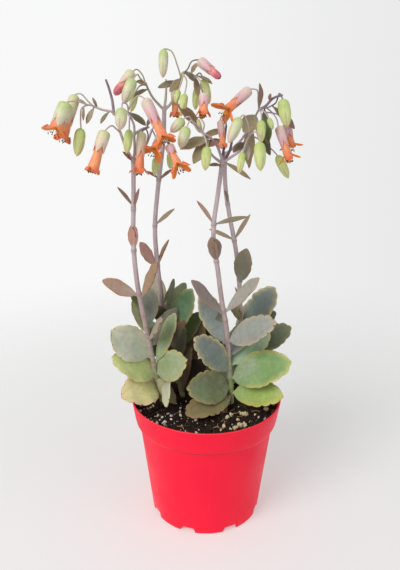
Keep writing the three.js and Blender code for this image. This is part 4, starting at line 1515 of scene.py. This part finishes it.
def nearest_distance(points, marks):
    """Distance of each flat point from the nearest mark."""
    return np.min(np.hypot(points[:, None, 0] - marks[None, :, 0], points[:, None, 1] - marks[None, :, 1]),
                  axis=1)


def blade_patch(
    base, tip, width, up, rise, seed, thickness, scallop, petiole, cup, droop, teeth, rows,
    reach=1.6, fullness=0.56,
):
    """A fleshy leaf: petiole, blade with a scalloped margin, and a thick heart."""
    draw = random.Random(seed)
    base, tip = np.asarray(base, float), np.asarray(tip, float)
    along = unit(tip - base)
    up = unit(up - along * (up @ along))
    side = np.cross(along, up)
    size = norm(tip - base)
    m = np.linspace(0, 1, rows)
    u = (1 - np.cos(pi * m)) / 2
    u = 0.35 * m + 0.65 * u
    y = -reach + (size + reach) * u
    broad = width > BROAD
    drawn_out = draw.uniform(1.0, 1.1) if broad else draw.uniform(0.98, 1.14)
    share = np.clip((y / size - 0.02) / 0.98, 0, 1) ** drawn_out
    blade = np.sin(pi * share) ** fullness * (width / 2 - scallop * 0.4)
    blade[-1] = 0.0
    stalk = petiole * (1 - step_up(u, 0.15, 0.6)) + 1e-6
    half = (blade**3 + stalk**3) ** (1 / 3)
    half[-1] = 0.0
    lean = draw.uniform(-0.03, 0.03) * size
    outlines, marks = [], []
    for way in (-1, 1):
        x = half * way
        edge_step = np.hypot(np.gradient(half), np.gradient(y))
        arc = np.cumsum(edge_step)
        arc = (arc - arc[0]) / (arc[-1] - arc[0])
        count = teeth + draw.choice((-0.5, 0, 0, 0.5))
        jitter = 0.05 * np.sin(arc * draw.uniform(9, 14) + draw.uniform(0, 6)) * (1 - arc)
        phase = count * (1 - arc) + jitter * count
        lobe = np.abs(np.cos(pi * phase)) ** 0.6
        depth = scallop * (0.75 + 0.35 * np.sin(arc * 7 + draw.uniform(0, 6)))
        ramp = step_up(arc, 0.3, 0.5)
        push = depth * (lobe - 0.45) * ramp
        tangent = np.stack([np.gradient(x), np.gradient(y)], axis=1)
        tangent /= np.maximum(norm(tangent, axis=1), 1e-9)[:, None]
        normal = np.stack([tangent[:, 1], -tangent[:, 0]], axis=1) * way
        normal[-1] = (0, 1)
        outlines.append((x, push, normal))
        notch = (np.abs((phase % 1.0) - 0.5) < 0.5 * count / rows * 1.3) & (ramp > 0.4)
        rim_x, rim_y = x + push * normal[:, 0], y + push * normal[:, 1]
        marks.append((np.stack([rim_x, rim_y], axis=1), notch))
    rim = np.vstack([mark[0] for mark in marks])
    dots = np.vstack([mark[0][mark[1]] for mark in marks] + [np.array([[0.0, -99.0]])])
    taper = (1 - 0.7 * u**7) * np.clip(0.45 + u * 2.2, 0, 1)
    wave_turn, wave_count = draw.uniform(0, 6), draw.uniform(1.6, 2.8)
    fold = draw.uniform(0.15, 0.45)
    sheets = {}
    for face in (1, -1):
        columns = []
        for s in ACROSS:
            x, push, normal = outlines[0] if s < 0 else outlines[1]
            reach_out = abs(s) ** 3 * push
            px = x * abs(s) + reach_out * normal[:, 0] + lean * u**2
            py = y + reach_out * normal[:, 1]
            through = thickness / 2 * sqrt(max(0.0, 1 - abs(s) ** 2.5)) * taper
            height = 4 * rise * u * (1 - u) + cup * abs(s) ** 1.8 * (half / (width / 2)) - droop * u**3
            wave = np.sin(wave_count * 2 * pi * u + wave_turn + s)
            height = height + 0.85 * abs(s) ** 2 * wave * step_up(u, 0.2, 0.5) * (width / 24)
            crease = -fold * np.exp(-((s / 0.16) ** 2)) * step_up(u, 0.02, 0.2) * (1 - u)
            pz = height + face * through + (crease if face > 0 else crease * 0.5)
            columns.append((px, py, pz))
        sheets[face] = np.array(columns).transpose(2, 0, 1)
    count = len(ACROSS)
    share_of_each = np.tile(np.repeat(u, count), 2)
    local = np.vstack([sheets[1].reshape(-1, 3), sheets[-1].reshape(-1, 3)])
    faces = grid_faces(rows, count, False, True) + grid_faces(rows, count, False, False, rows * count)
    top_end = list(range(count))
    bottom_end = [rows * count + j for j in range(count)]
    faces.append(tuple(top_end + bottom_end[::-1]))
    flat = local[:, :2] - np.outer(share_of_each**2 * lean, [1, 0])
    edge, dot = nearest_distance(flat, rim), nearest_distance(flat, dots)
    edge = edge + 3.0 * (1 - step_up(share_of_each, 0.1, 0.35))
    points = base + np.outer(local[:, 0], side) + np.outer(local[:, 1], along) + np.outer(local[:, 2], up)
    return patch(
        points, faces, 0, edge=edge, notch=dot, across=np.tile(ACROSS, rows * 2), along=share_of_each,
        under=np.repeat([0.0, 1.0], rows * count),
    )


def make_leaf(node):
    settings = chosen("leaves")
    finish, cup, droop = LEAF_LOOKS[node]
    seen = measure_blade(node)
    broad = seen["width"] > BROAD
    made = blade_patch(
        seen["base"], seen["tip"], seen["width"], seen["up"], seen["rise"], node,
        thickness=settings.thickness / MM * (1.0 if broad else 0.85),
        scallop=settings.scallop / MM * min(1.0, (seen["width"] / 20) ** 2),
        petiole=settings.petiole / MM, cup=cup * 1.35, droop=droop,
        teeth=7.5 if broad else 5, rows=96 if broad else 60, fullness=0.5,
    )
    piece = make_object(node + "_blade", made, [leaf_look(finish)], merge=0.004)
    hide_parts(node)
    return piece


def rooted(stem, base, reach):
    """Moves a base onto the nearest centre line of its stem, a little inside."""
    points = np.vstack([line for line, _ in routes_of(stem)])
    nearest = points[norm(points - np.array(base, float), axis=1).argmin()]
    return nearest + unit(np.array(reach, float) - nearest) * 0.9


def make_blades(name, blades):
    """One piece from blades given as pairs of patch and finish."""
    looks = list(dict.fromkeys(finish for _, finish in blades))
    for blade, finish in blades:
        blade["finish"] = [looks.index(finish)] * len(blade["faces"])
    patches = [blade for blade, _ in blades]
    piece = make_object(name, join(patches), [leaf_look(finish) for finish in looks], merge=0.004)
    return piece


def make_small_leaves(stem):
    settings = chosen("leaves")
    rows = [row for row in SMALL_LEAVES if row[0] == stem]
    blades = []
    for i, (_, base, tip, width, facing, finish) in enumerate(rows):
        blade = blade_patch(
            rooted(stem, base, tip), tip, width, np.array(facing, float), 0.5, stem + str(i),
            thickness=settings.thickness / MM * (0.95 if width > 14 else 0.75),
            scallop=settings.scallop / MM * min(1.0, (width / 20) ** 2),
            petiole=settings.petiole / MM * 0.9, cup=width * 0.05,
            droop=0.5, teeth=5.5 if width > 14 else 4, rows=64, reach=0.5,
        )
        blades.append((blade, finish))
    return make_blades("small_leaves_" + stem, blades)


def make_bracts(stem):
    rows = [row for row in BRACTS if row[0] == stem]
    blades = []
    draw = random.Random("bracts" + stem)
    for i, (_, base, tip, width, finish) in enumerate(rows):
        root = rooted(stem, base, tip)
        facing = np.array([draw.uniform(-0.5, 0.5), -0.8, 0.7])
        blade = blade_patch(
            root, tip, width, facing, draw.uniform(0.2, 0.9), stem + "bract" + str(i),
            thickness=0.95 if width < 6 else 1.2, scallop=0.0 if width < 5 else 0.35, petiole=0.55,
            cup=width * 0.1, droop=draw.uniform(0.0, 0.8), teeth=3.5, rows=34, reach=0.2, fullness=0.68,
        )
        blades.append((blade, finish))
    return make_blades("bracts_" + stem, blades)


# ------------------------------------------------------------------ flowers


def measure_flower(node):
    """Neck and tip of a framed flower, and its greatest width."""
    points = node_points(node)
    _, axes = long_axis(points)
    shares = points @ axes[0]
    ends = points[shares.argmin()], points[shares.argmax()]
    stalk_end = np.array(FLOWER_STALKS[node][1][-1], float)
    neck, tip = sorted(ends, key=lambda p: norm(p - stalk_end))
    along = unit(tip - neck)
    off = points - neck
    width = 2 * norm(off - np.outer(off @ along, along), axis=1).max()
    return neck, tip, float(width)


BUD_OUTLINE = ([0, 0.02, 0.06, 0.12, 0.22, 0.36, 0.5, 0.64, 0.78, 0.88, 0.95, 1.0],
               [0.2, 0.44, 0.68, 0.86, 0.98, 1.0, 0.99, 0.92, 0.76, 0.54, 0.29, 0.03])
CALYX_OUTLINE = ([0, 0.02, 0.06, 0.14, 0.3, 0.5, 0.7, 0.85, 1.0],
                 [0.24, 0.52, 0.8, 0.97, 1.0, 0.98, 0.93, 0.89, 0.87])
FLOWER_TURNS = 64


def outline_radius(outline, share):
    """Radius at a share of the length, eased between the outline's points."""
    xs, ys = (np.array(v, float) for v in outline)
    fine = np.linspace(0, 1, 200)
    coarse = np.interp(fine, xs, ys)
    kernel = np.exp(-np.linspace(-2, 2, 13) ** 2)
    smooth = np.convolve(np.pad(coarse, 6, mode="edge"), kernel / kernel.sum(), mode="valid")
    smooth[:3], smooth[-3:] = coarse[:3], coarse[-3:]
    return np.interp(share, fine, smooth)


def placed(made, neck, along, turn):
    """Turns a patch made along +Z at the origin onto its neck and direction."""
    way = Vector(along).to_track_quat("Z", "Y").to_matrix()
    spin = Matrix.Rotation(turn, 3, "Z")
    made["points"] = made["points"] @ np.array(way @ spin).T + neck
    return made


def capped_patch(grid, turns, ends, finish, along, **layers):
    """A closed patch from rings and a point at each end; layers are given as rings and ends."""
    points = np.vstack(grid + [np.array([[0, 0, z]]) for z in ends])
    turn = np.concatenate([np.tile(turns / (2 * pi), len(grid)), [0, 0]])
    faces = capped_faces(len(grid), FLOWER_TURNS)
    whole = {name: np.concatenate(parts) for name, parts in layers.items()}
    return patch(points, faces, finish, along=np.concatenate(along), turn=turn, **whole)


def bud_patch(size, width):
    """A closed green bud with four seams towards its tip."""
    rows = 44
    turns = full_turn(FLOWER_TURNS)
    shares = (1 - np.cos(pi * np.linspace(0, 1, rows))) / 2
    corner = np.abs(((turns / (pi / 2)) % 1.0) - 0.5) * 2
    seam = np.exp(-(((1 - corner) / 0.16) ** 2))
    keel = np.exp(-((corner / 0.35) ** 2))
    grid, seams = [], []
    for s in shares:
        radius = outline_radius(BUD_OUTLINE, s) * width / 2
        late = float(step_up(s, 0.35, 0.62))
        shape = radius * (1 + 0.035 * keel * late) - 0.32 * seam * late * min(1.0, radius)
        grid.append(circle(shape, turns, s * size))
        seams.append(seam * late)
    along = (np.repeat(shares, FLOWER_TURNS), [0, 1])
    seam = (np.concatenate(seams), [0, 1])
    return capped_patch(grid, turns, (-0.25, size * 1.004), 0, along, seam=seam)


def calyx_patch(size, width):
    """The swollen outer flower with four pointed lobes, as a closed skin."""
    turns = full_turn(FLOWER_TURNS)
    corner = np.abs(((turns / (pi / 2)) % 1.0) - 0.5) * 2
    lobe = corner**0.9
    reach = size * (0.72 + 0.33 * lobe)
    skin = 0.34
    grid, alongs = [], []
    outside = [(v, 0.0) for v in np.linspace(0, 1, 40)]
    inside = [(v, skin) for v in (0.985, 0.9, 0.8, 0.7)]
    for v, inset in outside + inside:
        z = v * reach
        share = z / (size * 1.05)
        radius = outline_radius(CALYX_OUTLINE, share) * width / 2 - inset
        late = step_up(v, 0.7, 1.0)
        radius = radius * (1 + 0.03 * corner) - 0.2 * (1 - corner) ** 2 * late + 0.1 * late * lobe**2
        grid.append(circle(radius, turns, z))
        alongs.append(share)
    along = np.concatenate(alongs)
    seam = np.tile((1 - corner) ** 6, len(grid)) * (along > 0.55)
    return capped_patch(grid, turns, (-0.25, size * 0.45), 0, (along, [0, 0.5]), seam=(seam, [0, 0]))


def corolla_patch(start, mouth, radius, flare, lobe_length, thickness):
    """The petals: a tube with four lobes that flare out from its mouth."""
    turns = full_turn(FLOWER_TURNS)
    local = ((turns / (pi / 2)) % 1.0) * 2 - 1
    middle = turns - local * (pi / 4)
    ridge = 1 - np.abs(local)
    outward = np.stack([np.cos(middle), np.sin(middle)], axis=1)
    aside = np.stack([-np.sin(middle), np.cos(middle)], axis=1)
    rows = []
    for v in np.linspace(0, 1, 16):
        z = start + (mouth - start) * v
        r = radius * (0.84 + 0.28 * float(step_up(v, 0.25, 1.0)))
        shape = r * (1 + 0.07 * (ridge - 0.5) * step_up(v, 0.2, 0.8))
        rows.append(circle(shape, turns, z))
    edge = rows[-1]
    reach = lobe_length * np.maximum(1 - np.abs(local) ** 4.5, 0.0) ** 0.5 + 0.06
    steps = 14
    low, high = 0.12 + 0.5 * flare, 0.25 + 1.75 * flare
    out, down = 0.0, 0.0
    for i in range(1, steps + 1):
        w = i / steps
        angle = low + (high - low) * w
        out += sin(angle) / steps
        down += cos(angle) / steps
        blend = step_up(w, 0.0, 0.35)
        width = radius * 1.12 * (pi / 4) * (1.0 - 0.1 * w)
        sideways = local * width
        fan = radius * 1.14 * outward + sideways[:, None] * aside
        ring = edge[:, :2] * (1 - blend) + fan * blend
        xy = ring + outward * (reach * out)[:, None]
        curl = -0.5 * (np.abs(local) ** 2) * w
        z = mouth + reach * down + curl * 0.6
        rows.append(np.stack([xy[:, 0], xy[:, 1], z], axis=1))
    grid = np.array(rows)
    shares = np.linspace(0, 1, len(rows))
    along = np.repeat(shares, FLOWER_TURNS)
    turn = np.tile(turns / (2 * pi), len(rows))
    return shell(grid, thickness, 1, along=along, turn=turn)


def closed_corolla_patch(start, tip, radius):
    """Petals still furled into a blunt closed tip."""
    turns = full_turn(FLOWER_TURNS)
    swirl = 0.06 * np.sin(4 * turns)
    rows = 26
    grid = []
    shares = np.linspace(0, 1, rows)
    for s in shares:
        r = radius * sqrt(max(0.0, 1 - max(0.0, (s - 0.45) / 0.55) ** 2.6)) * (0.86 + 0.14 * s)
        r = r * (1 + swirl * step_up(s, 0.3, 0.7)) + 1e-3
        z = start + (tip - start) * s
        grid.append(circle(r, turns + s, z))
    return capped_patch(grid, turns, (start, tip), 1, (np.repeat(shares, FLOWER_TURNS), [0, 1]))


def stamens_patch(mouth, radius, reach, seed, thread):
    """Eight stamens, each a bent thread with a dark anther."""
    draw = random.Random(seed)
    ball, ball_faces = unit_lump(2)
    made = []
    for i in range(8):
        turn = 2 * pi * (i + draw.uniform(-0.2, 0.2)) / 8
        spread = radius * draw.uniform(0.55, 0.85)
        end = mouth + reach * draw.uniform(0.55, 1.0)
        path = smooth_path([
            (0.35 * radius * cos(turn), 0.35 * radius * sin(turn), mouth - 6),
            (0.45 * radius * cos(turn), 0.45 * radius * sin(turn), mouth - 2),
            (spread * cos(turn), spread * sin(turn), end),
        ], 0.8)
        made.append(tube(path, np.linspace(thread, thread * 0.8, len(path)), 8, 2, inside=0.0))
        tilt = Euler((draw.uniform(-0.6, 0.6), draw.uniform(-0.6, 0.6), 0)).to_matrix()
        anther = (ball * np.array([0.36, 0.3, 0.58])) @ np.array(tilt).T + path[-1] + np.array([0, 0, 0.35])
        made.append(patch(anther, ball_faces, 3))
    return join(made)


def flower_patch(neck, tip, width, flare, lobe_length, seed, calyx_share=USUAL_CALYX_SHARE, stout=1.0):
    settings = chosen("flowers")
    size = float(norm(tip - neck))
    thick = settings.petal_thickness / MM
    draw = random.Random(seed)
    if flare == 0 and lobe_length == 0:
        made = bud_patch(size, width * 0.9)
    elif flare == 0:
        calyx = calyx_patch(size * 0.6, width)
        made = join([calyx, closed_corolla_patch(size * 0.35, size, width * 0.42)])
    else:
        drop = lobe_length * (0.95 - 0.55 * flare)
        mouth = size - drop
        calyx_width = min(width, 7.8) * 0.88 * stout
        tube_radius = calyx_width * 0.41
        made = join([
            calyx_patch(min(size * calyx_share, mouth * 0.97) / 1.05, calyx_width),
            corolla_patch(mouth * 0.35, mouth, tube_radius, flare, lobe_length, thick),
            stamens_patch(mouth, tube_radius, 2.0 + lobe_length * 0.45, seed,
                          settings.filament_radius / MM),
        ])
    return placed(made, neck, unit(tip - neck), draw.uniform(0, pi / 2))


def flower_looks(finish, closed):
    """Materials of a flower: calyx, petals, stamen threads and anthers."""
    if closed:
        petals = look("closed_petal_look", closed_petal_material)
    else:
        petals = look("petal_look", petal_material)
    calyx = look("calyx_" + finish, calyx_material, finish)
    return [calyx, petals, look("filament_look", filament_material), look("anther_look", anther_material)]


def make_flower(node):
    finish, flare, lobe_length = FLOWER_LOOKS[node]
    neck, tip, width = measure_flower(node)
    if flare:
        width = width / 1.15
    share = CALYX_SHARES.get(node, USUAL_CALYX_SHARE)
    stout = STOUT_FLOWERS.get(node, 1.0)
    made = flower_patch(neck, tip, width, flare, lobe_length, node, share, stout)
    looks = flower_looks(finish, closed=not flare)
    if not lobe_length:
        looks = looks[:1]
    elif not flare:
        looks = looks[:2]
    piece = make_object(node + "_bloom", made, looks, merge=0.002)
    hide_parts(node)
    return piece


FLOWER_NECKS = {node: measure_flower(node)[:2] for node in FLOWER_STALKS}


def make_small_flowers(stem):
    made, materials = [], []
    for i, (owner, points, tip, width, finish, flare, lobe_length) in enumerate(SMALL_FLOWERS):
        if owner != stem:
            continue
        looks = flower_looks(finish, closed=not flare)
        one = flower_patch(
            np.array(points[-1], float), np.array(tip, float), width, flare, lobe_length, "small" + str(i)
        )
        numbers = []
        for look in looks:
            if look not in materials:
                materials.append(look)
            numbers.append(materials.index(look))
        one["finish"] = [numbers[f] for f in one["finish"]]
        made.append(one)
    piece = make_object("small_flowers_" + stem, join(made), materials, merge=0.002)
    return piece


# -------------------------------------------------------------------- stage


def soft_light(name, place, target, size, power, colour):
    lamp = bpy.data.lights.new(name, "AREA")
    lamp.shape = "DISK"
    lamp.size = size
    lamp.energy = power
    lamp.color = colour
    made = bpy.data.objects.new(name, lamp)
    made.location = place
    way = Vector(target) - Vector(place)
    made.rotation_euler = way.to_track_quat("-Z", "Y").to_euler()
    return place_in_scene(made)


def make_room(settings):
    world = bpy.data.worlds.new("studio_room")
    world.use_nodes = True
    tree = world.node_tree
    tree.nodes.clear()
    out = tree.nodes.new("ShaderNodeOutputWorld")
    way = add(tree, "ShaderNodeTexCoord").outputs["Generated"]
    sideways = add(tree, "ShaderNodeSeparateXYZ", {"Vector": way}).outputs["X"]
    # Painted shade: the backdrop seen by the camera darkens towards the right.
    tone = mix(remap(sideways, -0.2, 0.34), tuple(settings.backdrop), tuple(settings.backdrop_right))
    seen = add(tree, "ShaderNodeBackground", {"Color": tone, "Strength": 1.0})
    room = add(tree, "ShaderNodeBackground",
               {"Color": (1.0, 0.99, 0.97, 1.0), "Strength": settings.room_light})
    path = tree.nodes.new("ShaderNodeLightPath")
    blend = tree.nodes.new("ShaderNodeMixShader")
    tree.links.new(path.outputs["Is Camera Ray"], blend.inputs[0])
    tree.links.new(room.outputs[0], blend.inputs[1])
    tree.links.new(seen.outputs[0], blend.inputs[2])
    tree.links.new(blend.outputs[0], out.inputs["Surface"])
    bpy.context.scene.world = world


def make_floor(settings):
    material, tree, shader = begin_material("studio_floor_look")
    place = object_place(tree)
    distance = add(tree, "ShaderNodeVectorMath", {0: place}, operation="LENGTH").outputs["Value"]
    clouds = clouds_on(tree, 2.0, 60.0)
    tone = mix(times(clouds["Cloud"], 0.12), tuple(settings.floor_colour),
               tuple(c * 0.97 for c in settings.floor_colour))
    tree.links.new(tone, shader.inputs["Base Color"])
    tree.links.new(remap(clouds["Cloud"], 0.0, 1.0, 0.8, 0.9), shader.inputs["Roughness"])
    set_constants(shader, {
        "Specular IOR Level": 0.2,
        "Emission Color": (1.0, 1.0, 1.0, 1.0),
        "Emission Strength": settings.floor_glow,
    })
    tree.links.new(remap(distance, 0.62, 0.14), shader.inputs["Alpha"])
    sides = 96
    radii = (0.25, 0.6, 1.2, 2.2)
    turns = full_turn(sides)
    points = [(0.0, 0.0, 0.0)]
    for radius in radii:
        points += [(radius * cos(t), radius * sin(t), 0.0) for t in turns]
    faces = [(0, 1 + j, 1 + (j + 1) % sides) for j in range(sides)]
    faces += grid_faces(len(radii), sides, True, True, 1)
    mesh = bpy.data.meshes.new("studio_floor")
    mesh.from_pydata(points, [], faces)
    mesh.materials.append(material)
    floor = place_in_scene(bpy.data.objects.new("studio_floor", mesh))
    return floor


CAMERA_PLACE = (0.0, -0.42, 0.318)
# Turn to the left, look down from level, and roll of the camera, in degrees.
CAMERA_TURN, CAMERA_DOWN, CAMERA_ROLL = 0.7, 18.5, 0.33


def make_camera(settings):
    lens = bpy.data.cameras.new("view_camera")
    lens.lens = settings.lens
    lens.sensor_width = 36.0
    lens.clip_start = 0.02
    lens.clip_end = 20.0
    camera = bpy.data.objects.new("view_camera", lens)
    turn = Matrix.Rotation(radians(CAMERA_TURN), 4, "Z")
    pitch = Matrix.Rotation(radians(90 - CAMERA_DOWN), 4, "X")
    roll = Matrix.Rotation(radians(CAMERA_ROLL), 4, "Z")
    camera.matrix_world = Matrix.Translation(CAMERA_PLACE) @ turn @ pitch @ roll
    bpy.context.scene.camera = place_in_scene(camera)
    return camera


# ---------------------------------------------------------------- operators


class KALANCHOE_OT_stage(Operator):
    """Make the floor, the soft light and the camera."""

    bl_idname = "kalanchoe.stage"
    bl_label = "Stage"

    def execute(self, context):
        settings = context.scene.kalanchoe_stage
        make_camera(settings)
        make_room(settings)
        make_floor(settings)
        soft_light("key_light", (-0.95, -1.15, 1.25), (0, 0, 0.15), 1.1, settings.key_power,
                   (1.0, 0.985, 0.96))
        soft_light("fill_light", (1.2, -0.7, 0.7), (0, 0, 0.15), 1.2, settings.key_power * 0.12,
                   (0.96, 0.98, 1.0))
        context.scene.view_settings.view_transform = "Standard"
        return {"FINISHED"}


class KALANCHOE_OT_pot(Operator):
    """Make the nursery pot."""

    bl_idname = "kalanchoe.pot"
    bl_label = "Pot"

    def execute(self, context):
        make_pot()
        return {"FINISHED"}


class KALANCHOE_OT_soil(Operator):
    """Make the soil surface."""

    bl_idname = "kalanchoe.soil"
    bl_label = "Soil"

    def execute(self, context):
        make_soil()
        return {"FINISHED"}


class KALANCHOE_OT_grit(Operator):
    """Make the peat crumbs, perlite and fibres on the soil."""

    bl_idname = "kalanchoe.grit"
    bl_label = "Crumbs, perlite and fibres"

    def execute(self, context):
        make_crumbs()
        make_perlite()
        make_fibres()
        return {"FINISHED"}


class KALANCHOE_OT_stems(Operator):
    """Make the four stalks with their branches and flower stalks."""

    bl_idname = "kalanchoe.stems"
    bl_label = "Stems"

    def execute(self, context):
        for stem, node in STEM_NODES.items():
            make_stem(stem, node + "_skin", node)
        return {"FINISHED"}


class KALANCHOE_OT_leaves(Operator):
    """Make the large scalloped leaves."""

    bl_idname = "kalanchoe.leaves"
    bl_label = "Leaves"

    def execute(self, context):
        for node in LEAF_LOOKS:
            make_leaf(node)
        return {"FINISHED"}


class KALANCHOE_OT_small_leaves(Operator):
    """Make the small and rear leaves."""

    bl_idname = "kalanchoe.small_leaves"
    bl_label = "Small leaves"

    def execute(self, context):
        for stem in STALKS:
            make_small_leaves(stem)
        return {"FINISHED"}


class KALANCHOE_OT_bracts(Operator):
    """Make the bracts on the upper stalks and in the flower heads."""

    bl_idname = "kalanchoe.bracts"
    bl_label = "Bracts"

    def execute(self, context):
        for stem in STALKS:
            make_bracts(stem)
        return {"FINISHED"}


class KALANCHOE_OT_flowers(Operator):
    """Make the open flowers and the large buds."""

    bl_idname = "kalanchoe.flowers"
    bl_label = "Flowers and buds"

    def execute(self, context):
        for node in FLOWER_LOOKS:
            make_flower(node)
        return {"FINISHED"}


class KALANCHOE_OT_small_flowers(Operator):
    """Make the further small flowers and buds between the large ones."""

    bl_idname = "kalanchoe.small_flowers"
    bl_label = "Small flowers"

    def execute(self, context):
        for stem in STALKS:
            make_small_flowers(stem)
        return {"FINISHED"}


OPERATORS = [
    KALANCHOE_OT_stage,
    KALANCHOE_OT_pot,
    KALANCHOE_OT_soil,
    KALANCHOE_OT_grit,
    KALANCHOE_OT_stems,
    KALANCHOE_OT_leaves,
    KALANCHOE_OT_small_leaves,
    KALANCHOE_OT_bracts,
    KALANCHOE_OT_flowers,
    KALANCHOE_OT_small_flowers,
]


class KALANCHOE_PT_panel(Panel):
    """Lists the steps that build the plant, and its settings."""

    bl_idname = "KALANCHOE_PT_panel"
    bl_label = "Potted kalanchoe"
    bl_space_type = "VIEW_3D"
    bl_region_type = "UI"
    bl_category = "Kalanchoe"

    def draw(self, context):
        for operator in OPERATORS:
            self.layout.operator(operator.bl_idname)
        for name, kind in SETTINGS.items():
            box = self.layout.box()
            box.label(text=name.replace("_", " ").capitalize())
            for key in kind.__annotations__:
                box.prop(getattr(context.scene, name), key)


def register():
    for kind in [*SETTINGS.values(), *OPERATORS, KALANCHOE_PT_panel]:
        bpy.utils.register_class(kind)
    for name, kind in SETTINGS.items():
        setattr(bpy.types.Scene, name, bpy.props.PointerProperty(type=kind))


def unregister():
    for name in SETTINGS:
        delattr(bpy.types.Scene, name)
    for kind in reversed([*SETTINGS.values(), *OPERATORS, KALANCHOE_PT_panel]):
        bpy.utils.unregister_class(kind)


def main():
    register()
    for operator in OPERATORS:
        group, step = operator.bl_idname.split(".")
        getattr(getattr(bpy.ops, group), step)()


if __name__ == "__main__":
    main()
